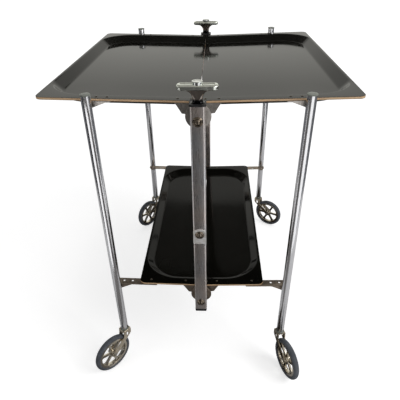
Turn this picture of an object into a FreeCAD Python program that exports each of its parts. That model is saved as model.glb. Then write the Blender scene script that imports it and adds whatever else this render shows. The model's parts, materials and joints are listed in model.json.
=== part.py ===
import FreeCAD, Part
import math
import os

from FreeCAD import Placement, Rotation, Vector

# A folding room service table. Two pressed trays, one above the other, are each cut
# in two along the middle. The halves hinge on two square columns, one at the front
# and one at the back, and each half carries two round legs on castors. Lifting the
# two handles folds all four halves down while the legs stay upright.
# Millimetres. +Z is up, X runs across the table, -Y is the front. Until the last
# step the middle of the trays is at x = 0, y = 0 and the floor at z = 0.

# ---- trays ----
tray_depth = 534.5            # front edge to back edge, both trays
upper_tray_width = 530.0      # both halves together, measured open
lower_tray_width = 262.0
upper_rim_height = 618.0      # top of the rim at the middle seam, above the floor
tray_spacing = 400.0          # upper rim to lower rim
tray_dish = 1.5               # degrees: outer edges stand higher than the seam
seam_gap = 0.4                # between the two rims at the seam, open
outer_corner_radius = 12.0
rim_across_ends = 19.0        # flat rim at the front and back edges
rim_along_sides = 4.5         # flat rim at the outer sides
recess_depth = 15.0
recess_wall_run = 15.0        # how far the sloping wall reaches inwards
recess_corner_radius = 75.0   # at the lip, seen from above
lip_radius = 6.0
cove_radius = 9.0
laminate_thickness = 0.6
ply_thickness = 2.8

# ---- columns ----
column_size = 24.0
column_wall = 1.5
column_corner_radius = 3.0
column_below_lower_hinge = 20.0
column_cap_height = 7.0
column_cap_edge_radius = 1.5
cap_plug_depth = 12.0
cap_plug_clearance = 0.1
collar_height = 2.9
collar_overhang = 1.5         # how far the collar stands out round the column
collar_edge_radius = 1.0
handle_bar_length = 65.0
handle_bar_depth = 20.0
handle_bar_height = 8.4
handle_bar_end_radius = 8.0
handle_bar_edge_radius = 4.5
handle_bar_lower_edge_radius = 1.5
handle_neck_height = 20.6     # collar top to the underside of the bar
handle_neck_waist = 16.0
handle_neck_waist_height = 5.0
handle_neck_foot = 23.0
handle_neck_spread = 44.0     # width of the flare where it meets the bar
handle_neck_depth = 18.0
handle_boss_diameter = 17.4
handle_boss_height = 4.6
handle_boss_edge_radius = 0.8
plate_thickness = 1.8         # plate on the front of each column
plate_below_rim = 266.7        # upper rim to the plate's lower edge
plate_side_height = 27.4
plate_height = 35.0           # to its low peak
plate_peak_radius = 14.0
plate_screw_above_edge = 20.4

# ---- middle hinges ----
pivot_drop = 25.0             # rim top at the seam to the hinge axis
leaf_thickness = 2.0
leaf_knuckle_radius = 14.0
leaf_top_reach = 38.0         # along the tray's underside
leaf_tip_reach = 27.0
leaf_tip_above_axis = 3.5
leaf_inset = 3.75             # inner leaf face to the edge of the tray
leaf_inner_edge = 3.0         # where the flange starts, beside the seam
flange_thickness = 2.0
leaf_flange_reach = 14.65     # flange under the rim, from the tray's edge
side_gap = 0.3                # between flat faces that slide past each other
disc_radius = 21.5
disc_thickness = 2.1
bolt_radius = 3.0
running_clearance = 0.06      # radial, a shaft that turns in its hole
fixed_clearance = 0.1         # radial, a bolt in a hole that it does not turn in
bolt_head_radius = 5.0
bolt_head_height = 3.4
cup_washer_radius = 8.5
cup_washer_height = 2.6
cup_washer_lip = 1.0
cup_washer_rim = 0.6
cup_washer_mouth = 0.4        # round the screw head
nut_across_flats = 10.0
nut_height = 4.5
bolt_past_nut = 0.5
plate_screw_reach = 9.0       # into the column from its face
rivet_radius = 1.5
rivet_head_radius = 2.5
rivet_head_height = 0.9
rivet_inset = 9.75            # from the tray's front and back edges
gusset_rivet_places = (12.0, 34.0)
bracket_rivets_from_leg = (27.5, 9.5)
strap_rivet_from_edge = 24.0  # from the lower tray's side edge

# ---- legs ----
leg_spacing_across = 352.0    # between leg axes, left to right
leg_spacer_length = 3.8       # bracket to leg, with the side gap
leg_diameter = 16.0
leg_wall = 1.5
leg_above_rim = 13.9          # leg tube above the upper rim
leg_cap_height = 2.0
leg_cap_overhang = 0.5
leg_cap_plug_depth = 12.0
leg_cap_bevel = 0.5
leg_pivot_rise = 19.0         # leg pivot above the middle hinge axis
leg_bracket_thickness = 2.0
leg_bracket_stand_off = 0.95  # outer face of the bracket past the tray's edge
leg_bracket_reach = 34.0      # from the leg's axis to the flange's inner end
leg_gusset_reach = 27.0       # where the upright part of the bracket begins
strap_lap = 36.0              # flange under the lower tray, from its side edge
leg_flange_reach = 16.65      # flange under the rim, from the tray's edge
flange_corner_radius = 3.0
strap_hole_radius = 2.5
upper_eye_radius = 6.0
lower_eye_radius = 7.5
leg_pin_radius = 2.5
leg_pin_head_radius = 4.2
leg_pin_head_height = 2.6
leg_pin_end_from_axis = 1.0
spacer_radius = 6.0
open_pivot_clearance = 0.3    # radial, at the lower leg pivot
socket_flange_radius = 9.0
socket_flange_height = 2.4
socket_depth = 30.0

# ---- castors ----
wheel_diameter = 90.0
castor_trail = 40.4
tyre_width = 12.6
tyre_thickness = 8.0
tyre_shoulder_height = 4.5    # where the round tread begins, above the seat
rim_thickness = 5.5
rim_width = 10.0
web_thickness = 4.6
hub_radius = 7.6
hub_gap = 0.3                 # between the hub and each fork plate
spoke_count = 6
spoke_width = 6.4
window_into_rim = 0.3         # how far the openings reach under the rim
window_corner_radius = 4.0    # where a spoke meets the rim
window_inner_radius = 2.6     # where two spokes meet
axle_radius = 3.0
axle_head_radius = 4.2
axle_head_height = 1.5
fork_plate = 2.0
fork_inner_width = 14.6
fork_front_reach = 10.0       # from the swivel axis, away from the wheel
fork_back_reach = 9.0
fork_plate_drop = 14.0        # straight part of the fork's front edge
fork_back_knee_out = 1.5      # the back edge leans out to its bend
fork_back_knee_drop = 18.0
fork_bend_radius = 9.0
fork_crown_edge_radius = 1.4
fork_arm_radius = 6.5
fork_slot_width = 4.6
fork_slot_height = 10.0
fork_slot_drop = 12.5
crown_gap = 0.4               # under the leg's socket
crown_above_wheel = 2.2
stem_radius = 4.0
stem_length_in_leg = 26.0
stem_head_radius = 6.0
stem_head_height = 2.4
stem_bevel = 0.8
# The way each castor trails, in degrees from +X, and the turn of its spokes.
castors = {
    "front_left": (229.5, 12.0),
    "front_right": (-68.9, 4.0),
    "rear_left": (232.9, 20.0),
    "rear_right": (-32.0, 27.0),
}

# ---- worked out ----
tool_reach = 40.0             # how far cutting shapes run past the trays
tray_thickness = ply_thickness + 2.0 * laminate_thickness
wall_angle = math.atan2(recess_depth, recess_wall_run)
dish = math.radians(tray_dish)
pivot_heights = {
    "upper": upper_rim_height - pivot_drop,
    "lower": upper_rim_height - tray_spacing - pivot_drop,
}
tray_widths = {"upper": upper_tray_width, "lower": lower_tray_width}
tray_edge = tray_depth / 2.0
inner_leaf_face = tray_edge - leaf_inset
outer_leaf_face = inner_leaf_face + leaf_thickness + side_gap
disc_face = outer_leaf_face + leaf_thickness + side_gap
column_back = disc_face + disc_thickness
column_front = column_back + column_size
column_middle = column_back + column_size / 2.0
column_top = upper_rim_height
column_bottom = pivot_heights["lower"] - column_below_lower_hinge
plate_low = upper_rim_height - plate_below_rim
plate_screw_height = plate_low + plate_screw_above_edge
collar_top = column_top + collar_height
bar_bottom = collar_top + handle_neck_height
bar_top = bar_bottom + handle_bar_height
leaf_faces = {"right": inner_leaf_face, "left": outer_leaf_face}
rivet_line = tray_edge - rivet_inset
leg_x = leg_spacing_across / 2.0
leg_bracket_face = tray_edge + leg_bracket_stand_off
leg_axis_from_middle = leg_bracket_face + side_gap + leg_spacer_length + leg_diameter / 2.0
crown_top = wheel_diameter + crown_above_wheel
leg_bottom = crown_top + crown_gap + socket_flange_height
leg_top = upper_rim_height + leg_above_rim
wheel_radius = wheel_diameter / 2.0
tyre_seat_radius = wheel_radius - tyre_thickness
rim_inner_radius = tyre_seat_radius - rim_thickness
fork_half = fork_inner_width / 2.0


# ---- small helpers ----
def block(x0, x1, y0, y1, z0, z1):
    return Part.makeBox(x1 - x0, y1 - y0, z1 - z0, Vector(x0, y0, z0))


def rod(centre, direction, radius, length):
    return Part.makeCylinder(radius, length, Vector(*centre), Vector(*direction))


def rod_y(x, z, y0, y1, radius):
    """A cylinder along Y between two places."""
    return rod((x, y0, z), (0, 1, 0), radius, y1 - y0)


def ring_y(x, z, y0, y1, outer, inner):
    return rod_y(x, z, y0, y1, outer).cut(rod_y(x, z, y0 - 1, y1 + 1, inner))


def rounded_outline(x0, x1, y0, y1, z, radii):
    """A rectangle with its own radius at each corner, anticlockwise from (x0, y0)."""
    corners = [(x0, y0, 1, 1), (x1, y0, -1, 1), (x1, y1, -1, -1), (x0, y1, 1, -1)]
    points = []
    for index, (x, y, sx, sy) in enumerate(corners):
        r = radii[index]
        along_x = Vector(x + sx * r, y, z)
        along_y = Vector(x, y + sy * r, z)
        middle = Vector(x + sx * r * (1 - math.sqrt(0.5)), y + sy * r * (1 - math.sqrt(0.5)), z)
        first, last = (along_y, along_x) if index % 2 == 0 else (along_x, along_y)
        points.append((first, middle, last, r))
    edges = []
    for index, (first, middle, last, r) in enumerate(points):
        if r > 0:
            edges.append(Part.Arc(first, middle, last).toShape())
        following = points[(index + 1) % 4][0]
        if last.distanceToPoint(following) > 1e-6:
            edges.append(Part.LineSegment(last, following).toShape())
    return Part.Wire(edges)


def raised(outline, height):
    return Part.Face(outline).extrude(Vector(0, 0, height))


def plate_xz(points, y0, y1):
    """A flat plate square to Y from its corners in X and Z."""
    corners = [Vector(x, y0, z) for x, z in points]
    outline = Part.makePolygon(corners + [corners[0]])
    return Part.Face(outline).extrude(Vector(0, y1 - y0, 0))


def turned_solid(profile, centre, direction):
    """A round piece from (radius, distance along the axis) points, on an axis."""
    corners = [Vector(r, 0, h) for r, h in profile]
    outline = Part.makePolygon(corners + [corners[0]])
    body = Part.Face(outline).revolve(Vector(0, 0, 0), Vector(0, 0, 1), 360)
    body.Placement = Placement(Vector(*centre), Rotation(Vector(0, 0, 1), Vector(*direction)))
    return body


def turned_curve(edges, centre, direction):
    """A round piece from an outline of edges in the XZ plane, on an axis."""
    body = Part.Face(Part.Wire(edges)).revolve(Vector(0, 0, 0), Vector(0, 0, 1), 360)
    body.Placement = Placement(Vector(*centre), Rotation(Vector(0, 0, 1), Vector(*direction)))
    return body


def line(a, b):
    return Part.LineSegment(Vector(*a), Vector(*b)).toShape()


def arc(a, middle, b):
    return Part.Arc(Vector(*a), Vector(*middle), Vector(*b)).toShape()


def flip_x(shape):
    return shape.mirror(Vector(0, 0, 0), Vector(1, 0, 0))


def flip_y(shape):
    return shape.mirror(Vector(0, 0, 0), Vector(0, 1, 0))


def both_ends(shape):
    """A piece at the back and its mirror image at the front."""
    return [shape, flip_y(shape)]


def joined(first, *others):
    return first.fuse(list(others)).removeSplitter()


def dome(centre, direction, radius, height):
    """A low round head: part of a ball, with a short straight edge."""
    edge = 0.25 * height
    rise = height - edge
    ball = (radius * radius + rise * rise) / (2.0 * rise)
    half_angle = 0.5 * math.asin(radius / ball)
    middle = (ball * math.sin(half_angle), 0, height - ball * (1 - math.cos(half_angle)))
    outline = [
        line((0, 0, 0), (radius, 0, 0)),
        line((radius, 0, 0), (radius, 0, edge)),
        arc((radius, 0, edge), middle, (0, 0, height)),
        line((0, 0, height), (0, 0, 0)),
    ]
    return turned_curve(outline, centre, direction)


# ---- trays ----
def recess_air(level, cut):
    """The space above the tray's surface at a depth under its top face: everything
    above the rim, and the sloping recess below it."""
    grow = cut * math.tan(wall_angle / 2.0)
    half_width = flat_place(tray_widths[level] / 2.0) - rim_along_sides + grow
    half_depth = tray_depth / 2.0 - rim_across_ends + grow
    corner = recess_corner_radius + grow
    run = recess_wall_run
    lip = rounded_outline(-half_width, half_width, -half_depth, half_depth, -cut, [corner] * 4)
    foot = rounded_outline(-half_width + run, half_width - run, -half_depth + run,
                           half_depth - run, -cut - recess_depth, [corner - run] * 4)
    bowl = Part.makeLoft([lip, foot], True, True)
    above = block(-tray_widths[level], tray_widths[level], -tray_depth, tray_depth, -cut,
                  tool_reach)
    space = above.fuse(bowl).removeSplitter()
    lip_edges = [e for e in space.Edges if on_height(e, -cut) and inside(e, half_width, half_depth)]
    space = space.makeFillet(lip_radius - cut, lip_edges)
    foot_edges = [e for e in space.Edges if on_height(e, -cut - recess_depth)]
    return space.makeFillet(cove_radius + cut, foot_edges)


def on_height(edge, z):
    box = edge.BoundBox
    return abs(box.ZMin - z) < 1e-4 and abs(box.ZMax - z) < 1e-4


def inside(edge, half_width, half_depth):
    box = edge.BoundBox
    return box.XMax < half_width + 1e-3 and box.YMax < half_depth + 1e-3


def flat_place(open_x):
    """Where a point of the rim lies along a half before the half is tilted up about
    the hinge, from its distance to the middle once it is open."""
    return (open_x + pivot_drop * math.sin(dish)) / math.cos(dish)


def half_outline(level):
    radii = [0.0, outer_corner_radius, outer_corner_radius, 0.0]
    edge = tray_depth / 2.0
    seam = flat_place(seam_gap / 2.0)
    return rounded_outline(seam, flat_place(tray_widths[level] / 2.0), -edge, edge, -tool_reach,
                           radii)


def rivet_places(level):
    return gusset_rivet_places + leg_flange_rivet_places(level)


def bracket_rivet_places():
    return tuple(leg_x - reach for reach in bracket_rivets_from_leg)


def leg_flange_rivet_places(level):
    if level == "upper":
        return bracket_rivet_places()
    return (lower_tray_width / 2.0 - strap_rivet_from_edge,)


def rivet_holes(level):
    holes = []
    for x in rivet_places(level):
        for y in (-rivet_line, rivet_line):
            radius = rivet_radius + fixed_clearance
            holes.append(rod((x, y, -tool_reach), (0, 0, 1), radius, 2.0 * tool_reach))
    return holes


def tray_layers(level):
    """The plywood and the two laminate skins of the right half, flat, rim top at z = 0."""
    depths = [0.0, laminate_thickness, laminate_thickness + ply_thickness, tray_thickness]
    outline = raised(half_outline(level), 2.0 * tool_reach)
    spaces = [recess_air(level, cut) for cut in depths]
    holes = rivet_holes(level)
    layers = []
    for index in range(3):
        layer = outline.common(spaces[index + 1]).cut(spaces[index])
        layers.append(layer.cut(holes))
    return layers


def rivets(level):
    """Rivets through the rim and the flange below it."""
    low = -tray_thickness - flange_thickness
    solids = []
    for x in rivet_places(level):
        for y in (-rivet_line, rivet_line):
            shank = rod((x, y, low), (0, 0, 1), rivet_radius, -low)
            head = dome((x, y, 0), (0, 0, 1), rivet_head_radius, rivet_head_height)
            tail = dome((x, y, low), (0, 0, -1), rivet_head_radius, rivet_head_height)
            solids.append(joined(shank, head, tail))
    return solids


def gusset(side):
    """An angle at the back end of the right half: a flange riveted under the rim and
    an upright leaf with a knuckle round the hinge bolt."""
    face = leaf_faces[side]
    back = face + leaf_thickness
    top = -tray_thickness
    tip = -pivot_drop + leaf_tip_above_axis
    leaf = plate_xz([(leaf_inner_edge, top), (leaf_top_reach, top), (leaf_tip_reach, tip),
                     (leaf_inner_edge, -pivot_drop)], face, back)
    knuckle = rod_y(0, -pivot_drop, face, back, leaf_knuckle_radius)
    flange = block(leaf_inner_edge, leaf_top_reach, tray_edge - leaf_flange_reach, back,
                   top - flange_thickness, top)
    body = joined(leaf, knuckle, flange)
    body = body.cut(rod_y(0, -pivot_drop, face - 1, back + 1, bolt_radius + running_clearance))
    for x in gusset_rivet_places:
        hole = rod((x, rivet_line, top - 10), (0, 0, 1), rivet_radius + fixed_clearance, 12)
        body = body.cut(hole)
    return body


def leg_pivot_flat():
    """The leg pivot in the half's own flat frame, from the hinge axis: the upright
    table has it leg_pivot_rise above the hinge axis, and the half is tilted up."""
    x = leg_x * math.cos(dish) + leg_pivot_rise * math.sin(dish)
    z = leg_pivot_rise * math.cos(dish) - leg_x * math.sin(dish)
    return x, z - pivot_drop


def tangent_point(start, centre, radius):
    """Where a line from a point touches the lower side of a circle."""
    dx = centre[0] - start[0]
    dz = centre[1] - start[1]
    reach = math.hypot(dx, dz)
    turn = math.atan2(dz, dx) - math.asin(radius / reach)
    length = math.sqrt(reach * reach - radius * radius)
    return start[0] + length * math.cos(turn), start[1] + length * math.sin(turn)


def leg_arm(level):
    """An angle at the back end of the right half that carries a leg: a flange under
    the rim and an upright plate that deepens to an eye round the leg's pin."""
    upper = level == "upper"
    start = leg_x - leg_bracket_reach if upper else lower_tray_width / 2.0 - strap_lap
    eye = upper_eye_radius if upper else lower_eye_radius
    clearance = running_clearance if upper else open_pivot_clearance
    x, z = leg_pivot_flat()
    top = -tray_thickness
    low = top - flange_thickness
    inner = leg_bracket_face - leg_bracket_thickness
    end = x + eye
    gusset_start = leg_x - leg_gusset_reach
    shape = rounded_outline(start, end, tray_edge - leg_flange_reach, leg_bracket_face, low,
                            [flange_corner_radius, eye, 0.0, 0.0])
    flange = raised(shape, flange_thickness)
    touch = tangent_point((gusset_start, low), (x, z), eye)
    upright = plate_xz([(gusset_start, top), (end, top), (end, z), (x, z), touch,
                        (gusset_start, low)], inner, leg_bracket_face)
    ear = rod_y(x, z, inner, leg_bracket_face, eye)
    body = joined(flange, upright, ear)
    body = body.cut(rod_y(x, z, inner - 1, leg_bracket_face + 1, leg_pin_radius + clearance))
    for place in leg_flange_rivet_places(level):
        hole = rod((place, rivet_line, low - 1), (0, 0, 1), rivet_radius + fixed_clearance, 10)
        body = body.cut(hole)
    if not upper:
        for place in bracket_rivet_places():
            body = body.cut(rod((place, rivet_line, low - 1), (0, 0, 1), strap_hole_radius, 10))
    return body


def placed_half(shape, level, side):
    """Lifts a flat right-hand piece to its height, tilts it about the hinge axis and
    mirrors it for the left half."""
    pivot = pivot_heights[level]
    body = shape.copy()
    body.translate(Vector(0, 0, pivot + pivot_drop))
    body.rotate(Vector(0, 0, pivot), Vector(0, 1, 0), -tray_dish)
    return body if side == "right" else flip_x(body)


def build_trays():
    nodes = {}
    for level in ("upper", "lower"):
        top_skin, ply, bottom_skin = tray_layers(level)
        arm_name = "leg_brackets" if level == "upper" else "leg_straps"
        for side in ("left", "right"):
            name = level + "_" + side
            groups = {
                "tray": [ply],
                "laminate": [top_skin, bottom_skin],
                "gussets": both_ends(gusset(side)),
                arm_name: both_ends(leg_arm(level)),
                "rivets": rivets(level),
            }
            for part, solids in groups.items():
                nodes[name + "_" + part] = [placed_half(s, level, side) for s in solids]
    return nodes


# ---- columns ----
def square_bar(size, radius, z0, z1):
    half = size / 2.0
    outline = rounded_outline(-half, half, column_middle - half, column_middle + half, z0,
                              [radius] * 4)
    return raised(outline, z1 - z0)


def column():
    outer = square_bar(column_size, column_corner_radius, column_bottom, column_top)
    inner_size = column_size - 2.0 * column_wall
    inner_radius = column_corner_radius - column_wall
    bore = square_bar(inner_size, inner_radius, column_bottom - 1, column_top + 1)
    body = outer.cut(bore)
    for z in pivot_heights.values():
        hole = rod_y(0, z, column_back - 1, column_front + 1, bolt_radius + fixed_clearance)
        body = body.cut(hole)
    front = column_front + 1
    middle = column_middle
    return body.cut(rod_y(0, plate_screw_height, middle, front, bolt_radius + fixed_clearance))


def column_plug(z0, z1):
    size = column_size - 2.0 * (column_wall + cap_plug_clearance)
    radius = column_corner_radius - column_wall
    return square_bar(size, radius, z0, z1)


def column_end_cap():
    low = column_bottom - column_cap_height
    cap = square_bar(column_size, column_corner_radius, low, column_bottom)
    bottom = [e for e in cap.Edges if on_height(e, low)]
    cap = cap.makeFillet(column_cap_edge_radius, bottom)
    # The plug ends below the lower hinge bolt.
    room = pivot_heights["lower"] - bolt_radius - column_bottom
    plug = column_plug(column_bottom, column_bottom + min(cap_plug_depth, room - side_gap))
    return joined(cap, plug)


def collar():
    size = column_size + 2.0 * collar_overhang
    flange = square_bar(size, column_corner_radius + collar_overhang, column_top, collar_top)
    edges = [e for e in flange.Edges if on_height(e, collar_top)]
    flange = flange.makeFillet(collar_edge_radius, edges)
    plug = column_plug(column_top - cap_plug_depth, column_top)
    return joined(flange, plug)


def handle_neck():
    """A waisted neck: a short foot, a waist and a wide flare under the bar, cut flat at
    the front and back where the bar is narrow."""
    foot = handle_neck_foot / 2.0
    slim = handle_neck_waist / 2.0
    spread = handle_neck_spread / 2.0
    waist = collar_top + handle_neck_waist_height
    hollow = math.sqrt(0.5)
    foot_middle = (foot - (foot - slim) * hollow, 0, waist - (waist - collar_top) * hollow)
    flare_middle = (spread - (spread - slim) * hollow, 0, waist + (bar_bottom - waist) * hollow)
    outline = [
        line((0, 0, collar_top), (foot, 0, collar_top)),
        arc((foot, 0, collar_top), foot_middle, (slim, 0, waist)),
        arc((slim, 0, waist), flare_middle, (spread, 0, bar_bottom)),
        line((spread, 0, bar_bottom), (0, 0, bar_bottom)),
        line((0, 0, bar_bottom), (0, 0, collar_top)),
    ]
    neck = turned_curve(outline, (0, column_middle, 0), (0, 0, 1))
    half = handle_neck_depth / 2.0
    wide = 2.0 * spread
    kept = block(-wide, wide, column_middle - half, column_middle + half, collar_top - 1,
                 bar_bottom + 1)
    kept_foot = block(-wide, wide, column_middle - wide, column_middle + wide, collar_top - 1,
                      waist)
    return neck.common(joined(kept, kept_foot))


def handle_bar():
    half = handle_bar_length / 2.0
    deep = handle_bar_depth / 2.0
    outline = rounded_outline(-half, half, column_middle - deep, column_middle + deep,
                              bar_bottom, [handle_bar_end_radius] * 4)
    bar = raised(outline, handle_bar_height)
    bar = bar.makeFillet(handle_bar_edge_radius, [e for e in bar.Edges if on_height(e, bar_top)])
    lower_edge = [e for e in bar.Edges if on_height(e, bar_bottom)]
    bar = bar.makeFillet(handle_bar_lower_edge_radius, lower_edge)
    boss_low = bar_top - handle_bar_edge_radius
    boss_height = handle_boss_height + handle_bar_edge_radius
    boss = rod((0, column_middle, boss_low), (0, 0, 1), handle_boss_diameter / 2.0, boss_height)
    boss_edge = [e for e in boss.Edges if on_height(e, boss_low + boss_height)]
    boss = boss.makeFillet(handle_boss_edge_radius, boss_edge)
    return joined(bar, boss)


def cup_washer(z, face):
    """A flared washer that a round screw head sinks into."""
    hole = bolt_radius + fixed_clearance
    mouth = bolt_head_radius + cup_washer_mouth
    profile = [(hole, 0.0), (cup_washer_radius, 0.0), (cup_washer_radius, cup_washer_rim),
               (mouth + cup_washer_mouth, cup_washer_height), (mouth, cup_washer_height),
               (mouth, cup_washer_lip), (hole, cup_washer_lip)]
    return turned_solid(profile, (0, face, z), (0, 1, 0))


def hinge_bolt(z):
    """A round-headed bolt through the column, the disc and both leaves."""
    seat = column_front + cup_washer_lip
    head = dome((0, seat, z), (0, 1, 0), bolt_head_radius, bolt_head_height)
    inner_end = inner_leaf_face - side_gap - nut_height - bolt_past_nut
    shank = rod_y(0, z, inner_end, seat, bolt_radius)
    return joined(head, shank)


def hinge_nut(z):
    outer = inner_leaf_face - side_gap
    across = nut_across_flats / math.sqrt(3.0)
    corners = []
    for index in range(6):
        turn = math.radians(60.0 * index)
        corners.append((across * math.cos(turn), z + across * math.sin(turn)))
    nut = plate_xz(corners, outer - nut_height, outer)
    return nut.cut(rod_y(0, z, outer - nut_height - 1, outer + 1, bolt_radius))


def plate_screw():
    seat = column_front + plate_thickness + cup_washer_lip
    head = dome((0, seat, plate_screw_height), (0, 1, 0), bolt_head_radius, bolt_head_height)
    shank = rod_y(0, plate_screw_height, column_front - plate_screw_reach, seat, bolt_radius)
    return joined(head, shank)


def column_plate():
    """A small plate on the outer face of the column, with a low peaked top."""
    half = column_size / 2.0
    shoulder = plate_low + plate_side_height
    corners = [(-half, plate_low), (half, plate_low), (half, shoulder),
               (0, plate_low + plate_height), (-half, shoulder)]
    face = column_front + plate_thickness
    plate = plate_xz(corners, column_front, face)
    peak = [e for e in plate.Edges
            if abs(e.BoundBox.XMax) < 1e-4 and abs(e.BoundBox.XMin) < 1e-4]
    plate = plate.makeFillet(plate_peak_radius, peak)
    hole = rod_y(0, plate_screw_height, column_front - 1, face + 1, bolt_radius + fixed_clearance)
    return plate.cut(hole)


def pivot_disc(z):
    return ring_y(0, z, disc_face, column_back, disc_radius, bolt_radius + fixed_clearance)


def build_columns():
    heights = list(pivot_heights.values())
    plate_face = column_front + plate_thickness
    washers = [cup_washer(z, column_front) for z in heights]
    washers.append(cup_washer(plate_screw_height, plate_face))
    bolts = [hinge_bolt(z) for z in heights] + [plate_screw()]
    groups = {
        "column_end_caps": [column_end_cap()],
        "column_collars": [collar()],
        "handle_necks": [handle_neck()],
        "column_plates": [column_plate()],
        "cup_washers": washers,
        "column_bolts": bolts,
        "hinge_nuts": [hinge_nut(z) for z in heights],
        "hinge_discs": [pivot_disc(z) for z in heights],
    }
    nodes = {
        "rear_column": [column()],
        "front_column": [flip_y(column())],
        "rear_handle": [handle_bar()],
        "front_handle": [flip_y(handle_bar())],
    }
    for name, solids in groups.items():
        nodes[name] = [copy for solid in solids for copy in both_ends(solid)]
    return nodes


# ---- legs: made at the right rear ----
def leg_tube():
    radius = leg_diameter / 2.0
    at = (leg_x, leg_axis_from_middle, leg_bottom)
    length = leg_top - leg_bottom
    body = rod(at, (0, 0, 1), radius, length)
    body = body.cut(rod((at[0], at[1], leg_bottom - 1), (0, 0, 1), radius - leg_wall, length + 2))
    for z in leg_pin_heights():
        body = body.cut(rod_y(leg_x, z, leg_axis_from_middle - radius - 2,
                              leg_axis_from_middle - 2, leg_pin_radius + fixed_clearance))
    return body


def leg_pin_heights():
    return [z + leg_pivot_rise for z in pivot_heights.values()]


def leg_cap():
    radius = leg_diameter / 2.0 + leg_cap_overhang
    plug = leg_diameter / 2.0 - leg_wall - cap_plug_clearance
    cap = rod((leg_x, leg_axis_from_middle, leg_top), (0, 0, 1), radius, leg_cap_height)
    rim = [e for e in cap.Edges if on_height(e, leg_top + leg_cap_height)]
    cap = cap.makeChamfer(leg_cap_bevel, rim)
    inner = rod((leg_x, leg_axis_from_middle, leg_top - leg_cap_plug_depth), (0, 0, 1), plug,
                leg_cap_plug_depth)
    return joined(cap, inner)


def leg_socket():
    """The bush in the bottom of the leg that the castor's stem turns in."""
    plug = leg_diameter / 2.0 - leg_wall - cap_plug_clearance
    low = leg_bottom - socket_flange_height
    at = (leg_x, leg_axis_from_middle)
    flange = rod((at[0], at[1], low), (0, 0, 1), socket_flange_radius, socket_flange_height)
    inner = rod((at[0], at[1], leg_bottom), (0, 0, 1), plug, socket_depth)
    bore = rod((at[0], at[1], low - 1), (0, 0, 1), stem_radius + running_clearance,
               socket_flange_height + socket_depth + 2)
    return joined(flange, inner).cut(bore)


def leg_pin(z):
    """A shouldered pin from the bracket into the wall of the leg."""
    head_face = leg_bracket_face - leg_bracket_thickness - side_gap
    head = dome((leg_x, head_face, z), (0, -1, 0), leg_pin_head_radius, leg_pin_head_height)
    end = leg_axis_from_middle - leg_pin_end_from_axis
    shank = rod_y(leg_x, z, head_face, end, leg_pin_radius)
    return joined(head, shank)


def leg_spacer(z):
    face = leg_bracket_face + side_gap
    tube = leg_axis_from_middle - leg_diameter / 2.0
    return ring_y(leg_x, z, face, tube, spacer_radius, leg_pin_radius + fixed_clearance)


# ---- castors: made at the origin, trailing along +X, floor at z = 0 ----
def across(s, z, width, radius):
    """A cylinder across the wheel, centred between the fork plates."""
    return rod_y(s, z, -width / 2.0, width / 2.0, radius)


def fork_outline(y0, y1):
    """One side plate of the fork, from the crown back and down to the axle."""
    axle = (castor_trail, wheel_radius)
    front = -fork_front_reach
    knee = crown_top - fork_plate_drop
    back_knee = (fork_back_reach + fork_back_knee_out, crown_top - fork_back_knee_drop)
    low = tangent_point((front, knee), axle, fork_arm_radius)
    dx = axle[0] - back_knee[0]
    dz = axle[1] - back_knee[1]
    turn = math.atan2(dz, dx) + math.asin(fork_arm_radius / math.hypot(dx, dz))
    length = math.sqrt(dx * dx + dz * dz - fork_arm_radius ** 2)
    high = (back_knee[0] + length * math.cos(turn), back_knee[1] + length * math.sin(turn))
    corners = [(front, crown_top), (front, knee), low, axle, high, back_knee,
               (fork_back_reach, crown_top)]
    plate = plate_xz(corners, y0, y1)
    knees = [e for e in plate.Edges if edge_at(e, front, knee) or edge_at(e, *back_knee)]
    plate = plate.makeFillet(fork_bend_radius, knees)
    plate = joined(plate, rod_y(axle[0], axle[1], y0, y1, fork_arm_radius))
    plate = plate.cut(rod_y(axle[0], axle[1], y0 - 1, y1 + 1, axle_radius))
    slot_z = crown_top - fork_slot_drop
    half = (fork_slot_height - fork_slot_width) / 2.0
    slot = block(-fork_slot_width / 2.0, fork_slot_width / 2.0, y0 - 1, y1 + 1,
                 slot_z - half, slot_z + half)
    for z in (slot_z - half, slot_z + half):
        slot = slot.fuse(rod_y(0, z, y0 - 1, y1 + 1, fork_slot_width / 2.0))
    return plate.cut(slot)


def edge_at(edge, x, z):
    """True for an edge that runs along Y at this x and z."""
    box = edge.BoundBox
    near_x = abs(box.XMin - x) < 1e-4 and abs(box.XMax - x) < 1e-4
    return near_x and abs(box.ZMin - z) < 1e-4 and abs(box.ZMax - z) < 1e-4


def fork():
    outer = fork_half + fork_plate
    crown = block(-fork_front_reach, fork_back_reach, -outer, outer, crown_top - fork_plate,
                  crown_top)
    sides = [fork_outline(fork_half, outer), fork_outline(-outer, -fork_half)]
    body = joined(crown, *sides)
    tops = [e for e in body.Edges if on_height(e, crown_top) and e.BoundBox.YLength < 1e-4]
    body = body.makeFillet(fork_crown_edge_radius, tops)
    return body.cut(rod((0, 0, crown_top - 5), (0, 0, 1), stem_radius, 10))


def castor_stem():
    top = leg_bottom + stem_length_in_leg
    shank = rod((0, 0, crown_top - fork_plate), (0, 0, 1), stem_radius,
                top - crown_top + fork_plate)
    shank = shank.makeChamfer(stem_bevel, [e for e in shank.Edges if on_height(e, top)])
    head = rod((0, 0, crown_top - fork_plate - stem_head_height), (0, 0, 1), stem_head_radius,
               stem_head_height)
    return joined(shank, head)


def castor_axle():
    outer = fork_half + fork_plate
    pin = across(castor_trail, wheel_radius, 2.0 * outer, axle_radius)
    heads = []
    for sign in (-1, 1):
        at = (castor_trail, sign * outer, wheel_radius)
        heads.append(dome(at, (0, sign, 0), axle_head_radius, axle_head_height))
    return joined(pin, *heads)


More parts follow.
